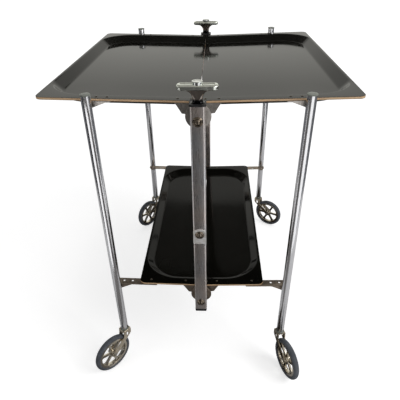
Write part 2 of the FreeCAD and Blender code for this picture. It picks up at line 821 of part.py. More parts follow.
def wheel_window(turn):
    """One opening between two spokes: an arc along the rim, a rounded corner at each
    spoke, the spokes' straight sides and the round where these meet."""
    reach = rim_inner_radius + window_into_rim
    half_turn = math.pi / spoke_count
    place = reach - window_corner_radius
    corner = half_turn - math.asin((spoke_width / 2.0 + window_corner_radius) / place)
    square = half_turn + math.pi / 2.0          # square to the spoke's side
    inner = (spoke_width / 2.0 + window_inner_radius) / math.sin(half_turn)

    def corner_point(angle, side):
        x = place * math.cos(corner) + window_corner_radius * math.cos(angle)
        z = place * math.sin(corner) + window_corner_radius * math.sin(angle)
        return (x, -rim_width, side * z)

    def inner_point(side):
        x = inner + window_inner_radius * math.cos(square)
        return (x, -rim_width, side * window_inner_radius * math.sin(square))

    middle = (corner + square) / 2.0
    outline = [
        arc(corner_point(corner, -1), (reach, -rim_width, 0), corner_point(corner, 1)),
        arc(corner_point(corner, 1), corner_point(middle, 1), corner_point(square, 1)),
        line(corner_point(square, 1), inner_point(1)),
        arc(inner_point(1), (inner - window_inner_radius, -rim_width, 0), inner_point(-1)),
        line(inner_point(-1), corner_point(square, -1)),
        arc(corner_point(square, -1), corner_point(middle, -1), corner_point(corner, -1)),
    ]
    body = Part.Face(Part.Wire(outline)).extrude(Vector(0, 2.0 * rim_width, 0))
    body.rotate(Vector(0, 0, 0), Vector(0, 1, 0), turn)
    return body


def wheel(phase):
    """Hub, web with rounded openings, and the rim that the tyre sits on."""
    hub = rod_y(0, 0, -fork_half + hub_gap, fork_half - hub_gap, hub_radius)
    web = rod_y(0, 0, -web_thickness / 2.0, web_thickness / 2.0, rim_inner_radius + 1.0)
    rim = ring_y(0, 0, -rim_width / 2.0, rim_width / 2.0, tyre_seat_radius, rim_inner_radius)
    for index in range(spoke_count):
        web = web.cut(wheel_window(phase + index * 360.0 / spoke_count))
    body = joined(hub, web, rim)
    body = body.cut(rod_y(0, 0, -20, 20, axle_radius + running_clearance))
    body.translate(Vector(castor_trail, 0, wheel_radius))
    return body


def tyre():
    half = tyre_width / 2.0
    seat = tyre_seat_radius
    shoulder = seat + tyre_shoulder_height
    base = rim_width / 2.0
    outline = [
        line((seat, 0, -base), (seat, 0, base)),
        line((seat, 0, base), (seat + 2.0, 0, half)),
        line((seat + 2.0, 0, half), (shoulder, 0, half)),
        arc((shoulder, 0, half), (wheel_radius, 0, 0), (shoulder, 0, -half)),
        line((shoulder, 0, -half), (seat + 2.0, 0, -half)),
        line((seat + 2.0, 0, -half), (seat, 0, -base)),
    ]
    return turned_curve(outline, (castor_trail, 0, wheel_radius), (0, 1, 0))


def build_legs():
    """Four alike legs, and a castor under each that trails its own way."""
    leg = {
        "leg": [leg_tube()],
        "leg_plugs": [leg_cap(), leg_socket()],
        "leg_pins": [leg_pin(z) for z in leg_pin_heights()],
    }
    leg["leg_pins"] += [leg_spacer(z) for z in leg_pin_heights()]
    fork_solid = fork()
    pins = [castor_stem(), castor_axle()]
    nodes = {}
    for corner, (trail_angle, phase) in castors.items():
        left = corner.endswith("left")
        front = corner.startswith("front")
        for part, solids in leg.items():
            placed = [flip_x(s) if left else s.copy() for s in solids]
            nodes[corner + "_" + part] = [flip_y(s) if front else s for s in placed]
        at = Vector(-leg_x if left else leg_x,
                    -leg_axis_from_middle if front else leg_axis_from_middle, 0)
        castor = {"fork": [fork_solid], "castor_pins": pins, "wheel": [wheel(phase)],
                  "tyre": [tyre()]}
        for part, solids in castor.items():
            placed = []
            for solid in solids:
                body = solid.copy()
                body.rotate(Vector(0, 0, 0), Vector(0, 0, 1), trail_angle)
                body.translate(at)
                placed.append(body)
            nodes[corner + "_" + part] = placed
    return nodes


def main():
    nodes = {}
    nodes.update(build_columns())
    nodes.update(build_trays())
    nodes.update(build_legs())
    # The origin goes to the middle of the whole table's outer box, on the floor.
    whole = FreeCAD.BoundBox()
    for solids in nodes.values():
        for solid in solids:
            for point in solid.tessellate(0.02)[0]:
                whole.add(point)
    shift = Vector(-whole.Center.x, -whole.Center.y, 0)
    os.makedirs("parts", exist_ok=True)
    for name, solids in nodes.items():
        moved = []
        for solid in solids:
            body = solid.copy()
            body.translate(shift)
            moved.append(body)
        shape = moved[0] if len(moved) == 1 else Part.makeCompound(moved)
        shape.exportStep("parts/" + name + ".step")
        print(name, len(shape.Solids), "solids", shape.isValid(), round(shape.Volume, 1))
    print("shift", round(shift.x, 4), round(shift.y, 4), "height", round(whole.ZMax, 3),
          "lowest", round(whole.ZMin, 4))


main()
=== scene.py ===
import json
import math

import bmesh
import bpy
import numpy as np
from bpy.props import FloatProperty, FloatVectorProperty, IntProperty, PointerProperty
from mathutils import Matrix, Vector

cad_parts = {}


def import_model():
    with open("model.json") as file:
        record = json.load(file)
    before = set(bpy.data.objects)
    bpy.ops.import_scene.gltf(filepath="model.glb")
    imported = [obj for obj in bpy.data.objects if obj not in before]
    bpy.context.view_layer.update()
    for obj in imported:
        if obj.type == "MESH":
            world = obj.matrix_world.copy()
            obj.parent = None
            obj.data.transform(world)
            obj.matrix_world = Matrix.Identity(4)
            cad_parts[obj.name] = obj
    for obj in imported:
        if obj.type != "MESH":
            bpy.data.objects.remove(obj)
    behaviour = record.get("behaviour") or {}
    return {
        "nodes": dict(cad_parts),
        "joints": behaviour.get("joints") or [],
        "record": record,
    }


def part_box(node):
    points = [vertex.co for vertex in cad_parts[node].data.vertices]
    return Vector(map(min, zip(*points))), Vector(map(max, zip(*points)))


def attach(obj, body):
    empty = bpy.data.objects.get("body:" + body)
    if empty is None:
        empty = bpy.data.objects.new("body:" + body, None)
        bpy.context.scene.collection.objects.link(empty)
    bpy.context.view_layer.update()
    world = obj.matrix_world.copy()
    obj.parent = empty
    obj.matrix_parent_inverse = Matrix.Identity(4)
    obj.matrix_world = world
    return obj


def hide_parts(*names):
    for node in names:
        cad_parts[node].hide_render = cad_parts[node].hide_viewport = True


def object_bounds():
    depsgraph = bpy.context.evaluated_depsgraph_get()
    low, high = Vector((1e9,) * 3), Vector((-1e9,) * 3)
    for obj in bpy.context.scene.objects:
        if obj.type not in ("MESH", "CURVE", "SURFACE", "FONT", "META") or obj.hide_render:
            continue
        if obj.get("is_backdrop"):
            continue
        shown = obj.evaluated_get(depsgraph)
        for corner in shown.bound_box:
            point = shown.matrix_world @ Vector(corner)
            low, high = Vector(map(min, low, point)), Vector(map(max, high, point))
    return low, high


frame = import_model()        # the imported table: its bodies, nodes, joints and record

bl_info = {
    "name": "Folding Room Service Table",
    "version": (1, 0, 0),
    "blender": (4, 5, 0),
    "location": "View3D > Sidebar > Service Table",
    "description": "Builds the surfaces and finishes of a folding two-tray service table",
    "category": "Add Mesh",
}

# The table stands on the floor with +Z up and its front towards -Y. All sizes are in
# metres and every piece is made where the frame has the node that it stands for.
LEVELS = ("upper", "lower")
SIDES = ("left", "right")
ENDS = ("front", "rear")
CORNERS = ("front_left", "front_right", "rear_left", "rear_right")
JOINTS = {joint["name"]: joint for joint in frame["joints"]}
RECORD = frame["record"]
BODIES = {node: body for body, nodes in RECORD["behaviour"]["bodies"].items() for node in nodes}
UP = np.array((0.0, 0.0, 1.0))
STEEL_GREY_BELOW = 0.1   # below the upper hinges: from here up the steel is the lighter grey, and towards the lower hinges it goes darker and browner
MIX_FIRST, MIX_SECOND, MIX_RESULT = 6, 7, 2     # a Mix node's sockets for colours
SHARP_FROM = math.radians(32.0)                 # edges that bend more stay crisp
FLAT_WITHIN = math.radians(0.6)                 # faces that bend less are made one
WELD, SLIVER = 2e-6, 1e-7                       # points as near are joined, edges as short go
POLE = 1e-6                                     # a radius that closes to a point
RIGHT_ANGLE = math.pi / 2.0
SPOKE_TURNS = dict(zip(CORNERS, (12.0, 4.0, 20.0, 27.0)))      # how each wheel stands, degrees
ARC_STEPS, BEND_STEPS = 14, 8                   # along the long and short arcs of an opening
SENSOR_WIDTH = 36.0                             # the camera's, in millimetres
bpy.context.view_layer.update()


def joint_place(name):
    """Where a joint's axis passes, as the frame's record has it."""
    return np.array(JOINTS[name]["pos_m"], float)


def joint_axis(name):
    return np.array(JOINTS[name]["axis"], float)


def node_box(name):
    """Lowest and highest corner of a node, as arrays."""
    low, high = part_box(name)
    return np.array(low), np.array(high)


# ---- settable sizes and colours ----
def length(name, description, default):
    """A size in metres that a user can change."""
    return FloatProperty(name=name, description=description, default=default, min=0.0,
                         precision=5, subtype="DISTANCE", unit="LENGTH")


def turn(name, description, degrees):
    """An angle that a user can change."""
    return FloatProperty(name=name, description=description, default=math.radians(degrees),
                         subtype="ANGLE", unit="ROTATION")


def colour(name, description, default):
    """A linear colour that a user can change."""
    return FloatVectorProperty(name=name, description=description, default=default, size=3,
                               min=0.0, max=1.0, subtype="COLOR")


class TrayShape(bpy.types.PropertyGroup):
    """The pressed trays and their rivets."""
    dish: turn("Dish", "Outward rise of each half", 1.5)
    rim_above_hinge: length("Rim above hinge", "Rim top at the seam to the hinge axis", 0.025)
    seam: length("Seam", "Half the gap between the halves at the rim", 0.0002)
    outer_corner: length("Outer corner", "Corner radius of the tray", 0.012)
    rim_ends: length("Rim at the ends", "Flat rim at the front and back", 0.019)
    rim_sides: length("Rim at the sides", "Flat rim at the outer sides", 0.0045)
    recess_depth: length("Recess depth", "Rim to floor", 0.015)
    recess_run: length("Wall run", "How far the sloping wall reaches inwards", 0.015)
    recess_corner: length("Recess corner", "Corner radius at the lip", 0.075)
    lip_radius: length("Lip radius", "Rounding from the rim into the wall", 0.006)
    cove_radius: length("Cove radius", "Rounding from the wall into the floor", 0.009)
    skin: length("Laminate", "Thickness of each laminate skin", 0.0004)
    ply: length("Plywood", "Thickness of the plywood", 0.0032)
    edge_ease: length("Edge ease", "Softening of the skins' outer edge", 0.00018)
    flange: length("Flange", "Thickness of the flanges under the rim", 0.002)
    rivet_radius: length("Rivet shank", "Radius of a rivet's shank", 0.0015)
    rivet_head: length("Rivet head", "Radius of a rivet's head", 0.0025)
    rivet_height: length("Rivet height", "Height of a rivet's head", 0.0009)
    rivet_inset: length("Rivet inset", "From the front and back edges", 0.00975)
    rivet_first: length("Inner leaf rivet", "From the middle along the half", 0.012)
    rivet_second: length("Outer leaf rivet", "From the middle along the half", 0.034)
    rivet_before_leg: length("Inner leg rivet", "From the leg's axis inwards", 0.0275)
    rivet_at_leg: length("Outer leg rivet", "From the leg's axis inwards", 0.0095)
    rivet_from_edge: length("Strap rivet", "From the lower tray's side edge", 0.024)


class PlateShape(bpy.types.PropertyGroup):
    """Edges of the flat steel pieces."""
    ease: length("Ease", "Rounding of the cut edges", 0.00022)
    cast_ease: length("Cast ease", "Rounding of the castor forks' edges", 0.00035)


class ColumnShape(bpy.types.PropertyGroup):
    """Square columns, their caps, collars and handles."""
    corner: length("Corner", "Corner radius of the tube", 0.003)
    wall: length("Wall", "Wall of the tube", 0.0015)
    cap_height: length("Cap height", "Height of the end cap", 0.007)
    cap_edge: length("Cap edge", "Rounding of the cap's foot", 0.0015)
    plug_depth: length("Plug depth", "Length of the plugs in the tube", 0.012)
    plug_gap: length("Plug gap", "Gap round the plugs", 0.0001)
    collar_edge: length("Collar edge", "Rounding of the collar's top", 0.001)
    neck_foot: length("Neck foot", "Radius of the neck on the collar", 0.0115)
    neck_waist: length("Neck waist", "Smallest radius of the neck", 0.008)
    neck_waist_height: length("Waist height", "Collar to the waist", 0.005)
    neck_black: length("Neck black", "Waist to where the neck's metal is bright", 0.003)
    neck_spread: length("Neck spread", "Radius of the flare under the bar", 0.022)
    neck_flat: length("Neck flat", "Half the depth of the flare", 0.0072)
    bar_end: length("Bar end", "Corner radius of the bar", 0.008)
    bar_top_edge: length("Bar top edge", "Rounding of the bar's top", 0.0036)
    bar_foot_edge: length("Bar foot edge", "Rounding of the bar's underside", 0.003)
    bar_dish: length("Bar dish", "Depth of the hollow in the bar's top", 0.0012)
    bar_crest: length("Bar crest", "Drop over the edge of the bar's hollow", 0.0004)
    bar_dish_inset: length("Bar dish inset", "From the bar's side to the hollow", 0.0052)
    bar_height: length("Bar height", "Underside to top, without the boss", 0.0084)
    boss_radius: length("Boss radius", "Round boss on the bar", 0.0087)
    boss_edge: length("Boss edge", "Rounding of the boss", 0.0008)
    boss_rim: length("Boss rim", "Inside radius of the boss's raised rim", 0.0062)
    boss_hollow: length("Boss hollow", "Depth of the hollow in the boss", 0.0005)


class FastenerShape(bpy.types.PropertyGroup):
    """Hinge discs, washers, bolts and leg pins."""
    shank: length("Bolt shank", "Radius of the hinge bolts", 0.003)
    hole_gap: length("Hole gap", "Radial gap round a fixed bolt", 0.0001)
    head_radius: length("Head radius", "Round head of the hinge bolts", 0.005)
    head_height: length("Head height", "Height of that head", 0.0034)
    washer_radius: length("Washer radius", "Cup washer", 0.0085)
    washer_height: length("Washer height", "Cup washer", 0.0026)
    washer_lip: length("Washer lip", "Floor of the cup", 0.001)
    washer_rim: length("Washer rim", "Edge of the washer", 0.0006)
    washer_mouth: length("Washer mouth", "Gap round the screw head", 0.0004)
    washer_ease: length("Washer ease", "Rounding of its outer edges", 0.0002)
    washer_mouth_ease: length("Mouth ease", "Rounding of its mouth", 0.00015)
    bolt_past: length("Bolt past column", "Column's inner face to the bolt's end", 0.0113)
    plate_screw: length("Plate screw", "Length under the plate screw's head", 0.008)
    plate_screw_rise: length("Plate screw rise", "Plate's foot to its screw", 0.0204)
    disc_radius: length("Disc radius", "Disc between column and leaves", 0.0215)
    disc_thickness: length("Disc thickness", "Disc between column and leaves", 0.0021)
    disc_ease: length("Disc ease", "Rounding of its edges", 0.0004)
    pin_radius: length("Leg pin", "Radius of the leg pins", 0.0025)
    pin_head: length("Leg pin head", "Radius of its head", 0.0042)
    pin_head_height: length("Leg pin head height", "Height of its head", 0.0026)
    pin_end: length("Leg pin end", "From the leg's axis", 0.001)
    spacer_radius: length("Spacer radius", "Spacer between bracket and leg", 0.006)
    spacer_length: length("Spacer length", "Spacer between bracket and leg", 0.0038)
    spacer_ease: length("Spacer ease", "Rounding of its edges", 0.0003)


class LegShape(bpy.types.PropertyGroup):
    """Leg tubes, caps and castor bushes."""
    radius: length("Leg radius", "Outside of the tube", 0.008)
    wall: length("Leg wall", "Wall of the tube", 0.0015)
    cap_bevel: length("Cap bevel", "Bevel of the cap's top edge", 0.0005)
    cap_radius: length("Cap radius", "Radius of the cap", 0.0085)
    cap_plug: length("Cap plug", "Length of the cap's plug", 0.012)
    socket_radius: length("Bush radius", "Radius of the bush's flange", 0.009)
    socket_depth: length("Bush depth", "Length of the bush in the leg", 0.03)
    socket_bore: length("Bush bore", "Radius of the bush's bore", 0.00406)
    socket_ease: length("Bush ease", "Rounding of the flange", 0.0003)
    plug_gap: length("Plug gap", "Gap round the plugs", 0.0001)


class CastorShape(bpy.types.PropertyGroup):
    """Castor stems, wheels and tyres."""
    stem_radius: length("Stem", "Radius of the stem", 0.004)
    stem_head: length("Stem head", "Radius of the stem's head", 0.006)
    stem_head_height: length("Stem head height", "Height of that head", 0.0024)
    stem_bevel: length("Stem bevel", "Bevel of the stem's top", 0.0008)
    crown: length("Crown", "Thickness of the fork's crown", 0.002)
    axle: length("Axle", "Radius of the axle", 0.003)
    axle_head: length("Axle head", "Radius of its heads", 0.0042)
    axle_head_height: length("Axle head height", "Height of its heads", 0.0015)
    fork_half: length("Fork half", "Axle middle to the outside of the fork", 0.0093)
    hub: length("Hub", "Radius of the hub", 0.0076)
    hub_half: length("Hub half", "Half the hub's length", 0.007)
    bore_gap: length("Bore gap", "Gap round the axle", 0.00006)
    web_half: length("Web half", "Half the thickness of the spokes", 0.0023)
    rim_half: length("Rim half", "Half the width of the rim", 0.005)
    rim_thickness: length("Rim thickness", "Rim that the tyre sits on", 0.0055)
    spoke: length("Spoke", "Width of a spoke", 0.0064)
    window_corner: length("Window corner", "Radius where a spoke meets the rim", 0.004)
    window_inner: length("Window inside", "Radius where two spokes meet", 0.0026)
    window_into_rim: length("Window into rim", "Openings reach this far under it", 0.0003)
    web_into_hub: length("Web into hub", "Spokes reach this far into the hub", 0.0006)
    web_into_rim: length("Web into the rim", "Spokes reach this far into the rim", 0.0016)
    edge: length("Wheel edge", "Rounding of the spokes' edges", 0.0007)
    hub_ease: length("Hub ease", "Rounding of the hub's ends", 0.0008)
    rim_ease: length("Rim ease", "Rounding of the rim under the tyre", 0.0003)
    rim_inner_ease: length("Inner rim ease", "Rounding of the rim's inside", 0.0011)
    spokes: IntProperty(name="Spokes", description="Spokes of a wheel", default=6, min=3)
    tyre_thickness: length("Tyre", "Thickness of the tyre", 0.008)
    tyre_half: length("Tyre half", "Half the width of the tyre", 0.0063)
    tyre_shoulder: length("Shoulder", "Seat to the start of the tread", 0.0045)
    tyre_flank: length("Flank", "Seat to the widest place", 0.002)
    tyre_foot_ease: length("Tyre foot ease", "Rounding beside the rim", 0.0003)
    tyre_flank_ease: length("Flank ease", "Rounding at the widest place", 0.0006)
    ribs: IntProperty(name="Ribs", description="Ribs round a tyre", default=100, min=8)
    rib_depth: length("Rib depth", "Depth of the grooves between ribs", 0.00055)


class TableColours(bpy.types.PropertyGroup):
    """Linear colours of the finishes."""
    laminate: colour("Laminate", "Glossy tray skins", (0.0036, 0.0034, 0.0026))
    ply_dark: colour("Dark veneer", "Plywood edge", (0.56, 0.34, 0.18))
    ply_light: colour("Light veneer", "Plywood edge", (0.86, 0.62, 0.38))
    hinge: colour("Hinge steel", "Leaves, brackets, straps and discs", (0.3, 0.25, 0.205))
    hinge_grey: colour("Upper hinge steel", "Grey steel of the upper fittings",
                       (0.38, 0.355, 0.33))
    rivet: colour("Rivets", "Rivets in the rim", (0.1, 0.085, 0.07))
    column: colour("Columns", "Satin square tubes", (0.66, 0.57, 0.52))
    column_cool: colour("Column, cooler", "The same, where it is bluer", (0.55, 0.56, 0.59))
    black: colour("Black plastic", "End caps and collars", (0.014, 0.014, 0.015))
    neck: colour("Handle neck", "Dark polished necks", (0.42, 0.37, 0.33))
    bar: colour("Handle bar", "Polished bars", (0.72, 0.75, 0.69))
    boss: colour("Boss", "Round boss on the bar", (0.66, 0.68, 0.66))
    plate: colour("Column plate", "Small plate on the column", (0.82, 0.81, 0.8))
    screw: colour("Screws", "Bolts, washers and nuts", (0.2, 0.165, 0.13))
    leg: colour("Legs", "Bright leg tubes", (0.8, 0.8, 0.82))
    cap: colour("Leg caps", "Caps on the legs", (0.16, 0.17, 0.15))
    pin: colour("Pins", "Leg pins and castor pins", (0.4, 0.38, 0.34))
    nickel: colour("Castor forks", "Satin nickel", (0.62, 0.55, 0.44))
    wheel: colour("Wheels", "Satin nickel", (0.62, 0.575, 0.495))
    tyre: colour("Tyres", "Grey-blue rubber", (0.062, 0.068, 0.08))


class StageSetting(bpy.types.PropertyGroup):
    """Floor, light and camera."""
    floor_reach: length("Floor", "Half the side of the floor", 9.0)
    floor_colour: colour("Floor", "Pale floor", (0.8, 0.8, 0.8))
    floor_lift: FloatProperty(name="Floor lift", description="Added where the camera sees it",
                              default=0.6, min=0.0)
    far_lift: FloatProperty(name="Far lift", description="The same, far from the table",
                            default=0.85, min=0.0)
    lift_start: length("Lift starts", "From the middle, where the lift begins to grow", 0.7)
    lift_end: length("Lift ends", "From the middle, where the far lift is reached", 2.6)
    world_light: FloatProperty(name="World", description="Light from all round", default=0.35,
                               min=0.0)
    key_power: FloatProperty(name="Key", description="Soft lamp at the right", default=20.0,
                             min=0.0, unit="POWER")
    fill_power: FloatProperty(name="Fill", description="Soft lamp at the left", default=2.5,
                              min=0.0, unit="POWER")
    top_power: FloatProperty(name="Top", description="Soft lamp above", default=6.0,
                             min=0.0, unit="POWER")
    reflected: colour("Reflected", "Backdrop as reflections see it", (1.0, 0.99, 0.92))
    card_dark: colour("Dark card", "Card at the left front, seen by reflections only",
                      (0.03, 0.027, 0.025))
    card_grey: colour("Grey card", "Card at the front, seen by reflections only",
                      (0.27, 0.26, 0.255))
    card_brown: colour("Brown cards", "Cards beside three castors, seen by reflections only",
                       (0.05, 0.042, 0.035))
    card_side: colour("Side cards", "Cards at the sides, seen by reflections only",
                      (0.24, 0.25, 0.27))
    card_white: colour("White card", "Card at the right front, seen by reflections only",
                       (1.0, 1.0, 1.0))
    card_top_colour: colour("Card above", "Card overhead, seen by reflections only",
                            (0.8, 0.78, 0.72))
    card_reach: length("Cards in front", "How far in front of the middle the cards stand", 0.62)
    card_top: length("Cards' height", "Height of the cards", 0.9)
    eye: FloatVectorProperty(name="Camera", description="Place of the camera", size=3,
                             default=(0.02827, -0.86356, 0.83243), subtype="TRANSLATION",
                             unit="LENGTH", precision=5)
    pitch: turn("Pitch", "Camera below the horizon", 32.636)
    yaw: turn("Yaw", "Camera towards the right", -2.539)
    roll: turn("Roll", "Camera about its view", -0.968)
    lens: FloatProperty(name="Lens", description="Focal length in millimetres",
                        default=36.42, min=1.0)


class ServiceTable(bpy.types.PropertyGroup):
    """Everything that can be set on the table."""
    tray: PointerProperty(type=TrayShape)
    plate: PointerProperty(type=PlateShape)
    column: PointerProperty(type=ColumnShape)
    fastener: PointerProperty(type=FastenerShape)
    leg: PointerProperty(type=LegShape)
    castor: PointerProperty(type=CastorShape)
    colours: PointerProperty(type=TableColours)
    stage: PointerProperty(type=StageSetting)


def settings():
    return bpy.context.scene.service_table


# ---- surfaces ----
class Shell:
    """Gathers the grids of points that make one piece."""

    def __init__(self):
        self.points = []
        self.faces = []
        self.uvs = []
        self.count = 0

    def add(self, grid, closed_across=False, closed_along=False, uv=None):
        """Adds a surface given as points on rows and columns. A closed direction joins
        its last points to its first."""
        rows, columns = grid.shape[:2]
        index = self.count + np.arange(rows * columns).reshape(rows, columns)
        if closed_across:
            index = np.concatenate([index, index[:, :1]], axis=1)
        if closed_along:
            index = np.concatenate([index, index[:1]], axis=0)
        corners = [index[:-1, :-1], index[:-1, 1:], index[1:, 1:], index[1:, :-1]]
        self.faces.append(np.stack(corners, axis=-1).reshape(-1, 4))
        self.points.append(grid.reshape(-1, 3))
        flat_uv = np.zeros((rows, columns, 2)) if uv is None else uv
        self.uvs.append(flat_uv.reshape(-1, 2))
        self.count += rows * columns
        return self

    def spin(self, profile, centre, axis, segments, ring=False):
        """Adds a surface of revolution. The profile of a ring closes on itself."""
        grid = turned(profile, centre, axis, segments)
        return self.add(grid, closed_across=True, closed_along=ring)

    def piece(self, name, node, finish, sharp=SHARP_FROM):
        """Makes the object: doubled points merged, faces turned outwards, and smooth
        but for edges that bend more than the sharp angle."""
        mesh = bpy.data.meshes.new(name)
        faces = np.concatenate(self.faces)
        mesh.from_pydata(np.concatenate(self.points), [], faces)
        layer = mesh.uv_layers.new(name="surface")
        layer.data.foreach_set("uv", np.concatenate(self.uvs)[faces.ravel()].ravel())
        closed = bmesh.new()
        closed.from_mesh(mesh)
        bmesh.ops.remove_doubles(closed, verts=closed.verts, dist=WELD)
        bmesh.ops.dissolve_degenerate(closed, edges=closed.edges, dist=SLIVER)
        bmesh.ops.recalc_face_normals(closed, faces=closed.faces)
        closed.to_mesh(mesh)
        closed.free()
        return placed(mesh, name, node, finish, sharp)


def stood(name, data):
    """A new object in the scene."""
    thing = bpy.data.objects.new(name, data)
    bpy.context.scene.collection.objects.link(thing)
    return thing


def placed(mesh, name, node, finish, sharp):
    """Shades a mesh and puts its object on the body of the node that it stands for."""
    mesh.shade_smooth()
    mesh.set_sharp_from_angle(angle=sharp)
    mesh.materials.clear()
    mesh.materials.append(bpy.data.materials[f"{finish}_finish"])
    piece = stood(name, mesh)
    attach(piece, BODIES[node])
    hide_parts(node)
    return piece


def eased(corners, radii, steps=5):
    """A closed outline with rounded corners. Each corner becomes the arc that touches
    both its sides: a quadratic curve through the two touching points whose middle
    point, the corner, is weighted by the sine of half the corner's angle."""
    corners = np.asarray(corners, float)
    radii = np.broadcast_to(np.asarray(radii, float), len(corners))
    before = np.roll(corners, 1, axis=0) - corners
    after = np.roll(corners, -1, axis=0) - corners
    before /= np.linalg.norm(before, axis=1, keepdims=True)
    after /= np.linalg.norm(after, axis=1, keepdims=True)
    half = np.arccos(np.clip((before * after).sum(axis=1), -1.0, 1.0)) / 2.0
    reach = (radii / np.tan(half))[:, None]
    first = (corners + before * reach)[:, None]
    last = (corners + after * reach)[:, None]
    s = np.linspace(0.0, 1.0, steps + 1)[None, :, None]
    weight = np.sin(half)[:, None, None]
    share_first, share_corner, share_last = (1 - s) ** 2, 2 * s * (1 - s) * weight, s ** 2
    curve = share_first * first + share_corner * corners[:, None] + share_last * last
    return (curve / (share_first + share_corner + share_last)).reshape(-1, 2)


def dome(radius, height, steps=10):
    """Half outline of a low round head, from its foot to its top: a straight edge of a
    quarter of the height, then a circle's arc that ends level on the axis."""
    edge = 0.25 * height
    rise = height - edge
    ball = (radius * radius + rise * rise) / (2.0 * rise)
    angle = np.linspace(math.asin(radius / ball), 0.0, steps + 1)
    arc = np.stack([ball * np.sin(angle), height - ball + ball * np.cos(angle)], axis=1)
    return np.concatenate([[(radius, 0.0)], arc])


def sleeve(inner, outer, low, high, ease, steps=3, inner_ease=0.0):
    """Outline of a ring between two radii and two heights, with eased corners."""
    corners = [(inner, low), (outer, low), (outer, high), (inner, high)]
    return eased(corners, [inner_ease, ease, ease, inner_ease], steps)


def turned(profile, centre, axis, segments):
    """Surface of revolution: each point of the profile, a radius and a height, is the
    centre plus the height along the axis plus the radius along a spoke that goes once
    round it."""
    axis = np.asarray(axis, float) / np.linalg.norm(axis)
    helper = np.array((1.0, 0.0, 0.0)) if abs(axis[0]) < 0.8 else np.array((0.0, 1.0, 0.0))
    side = np.cross(axis, helper)
    side /= np.linalg.norm(side)
    angle = np.arange(segments) * 2.0 * math.pi / segments
    spokes = np.cos(angle)[:, None] * side + np.sin(angle)[:, None] * np.cross(axis, side)
    profile = np.asarray(profile, float)
    along = profile[:, 1, None, None] * axis
    return np.asarray(centre, float) + along + profile[:, 0, None, None] * spokes[None]


def on_circle(radius, angle, x=0.0, y=0.0):
    """Points on a circle about (x, y), each at its angle from +X."""
    return np.stack([x + radius * np.cos(angle), y + radius * np.sin(angle)], axis=-1)


def as_rows(*values):
    """Numbers, or lists of them, as columns of one height: one number a row."""
    return [np.asarray(value, float).reshape(-1, 1) for value in np.broadcast_arrays(*values)]


def at_heights(rings, heights):
    """Flat rings, one a row, each lifted to its height."""
    level = np.broadcast_to(np.asarray(heights)[:, None, None], rings.shape[:2] + (1,))
    return np.concatenate([rings, level], axis=-1)


def rounded_rings(half_x, half_y, radius, steps=6):
    """Rounded rectangles, one a row: quarter circles of the radius about the four
    corner centres, anticlockwise from +X."""
    half_x, half_y, radius = as_rows(half_x, half_y, radius)
    quarter = np.linspace(0.0, RIGHT_ANGLE, steps + 1)
    angle = np.concatenate([quarter + k * RIGHT_ANGLE for k in range(4)])
    x_side = np.repeat([1, -1, -1, 1], steps + 1)
    y_side = np.repeat([1, 1, -1, -1], steps + 1)
    return on_circle(radius, angle, x_side * (half_x - radius), y_side * (half_y - radius))


def carried_rectangle(levels, centre, half_x, half_y, corner):
    """A rounded rectangle carried upwards: each level is an inset and a height, and the
    rectangle there is smaller all round by the inset, with its corners as much less."""
    inset, height = np.asarray(levels, float).T
    radius = np.clip(corner - inset, 0.0, None)
    outline = rounded_rings(half_x - inset, half_y - inset, radius)
    return at_heights(outline + np.asarray(centre)[:2], height)


def arc_levels(inset, height, radius, start, end, steps=5):
    """Levels on an arc about (inset, height): inset less the radius times the cosine,
    height plus the radius times the sine, from the start to the end angle."""
    angle = np.radians(np.linspace(start, end, steps + 1))
    return np.stack([inset - radius * np.cos(angle), height + radius * np.sin(angle)], axis=1)


# ---- finishes ----
def add_node(tree, kind, sockets=(), **options):
    """A shader node. Each of its sockets is set to a value, or joined to the output
    that is given for it."""
    node = tree.nodes.new(f"ShaderNode{kind}")
    for option, value in options.items():
        setattr(node, option, value)
    for socket, value in dict(sockets).items():
        if isinstance(value, bpy.types.NodeSocket):
            tree.links.new(value, node.inputs[socket])
        else:
            node.inputs[socket].default_value = value
    return node


def empty_material(name):
    material = bpy.data.materials.new(name)
    material.use_nodes = True
    material.node_tree.nodes.clear()
    return material


def opaque(value):
    """A colour with full alpha. An output that carries a colour stays as it is."""
    return value if isinstance(value, bpy.types.NodeSocket) else (*value, 1.0)


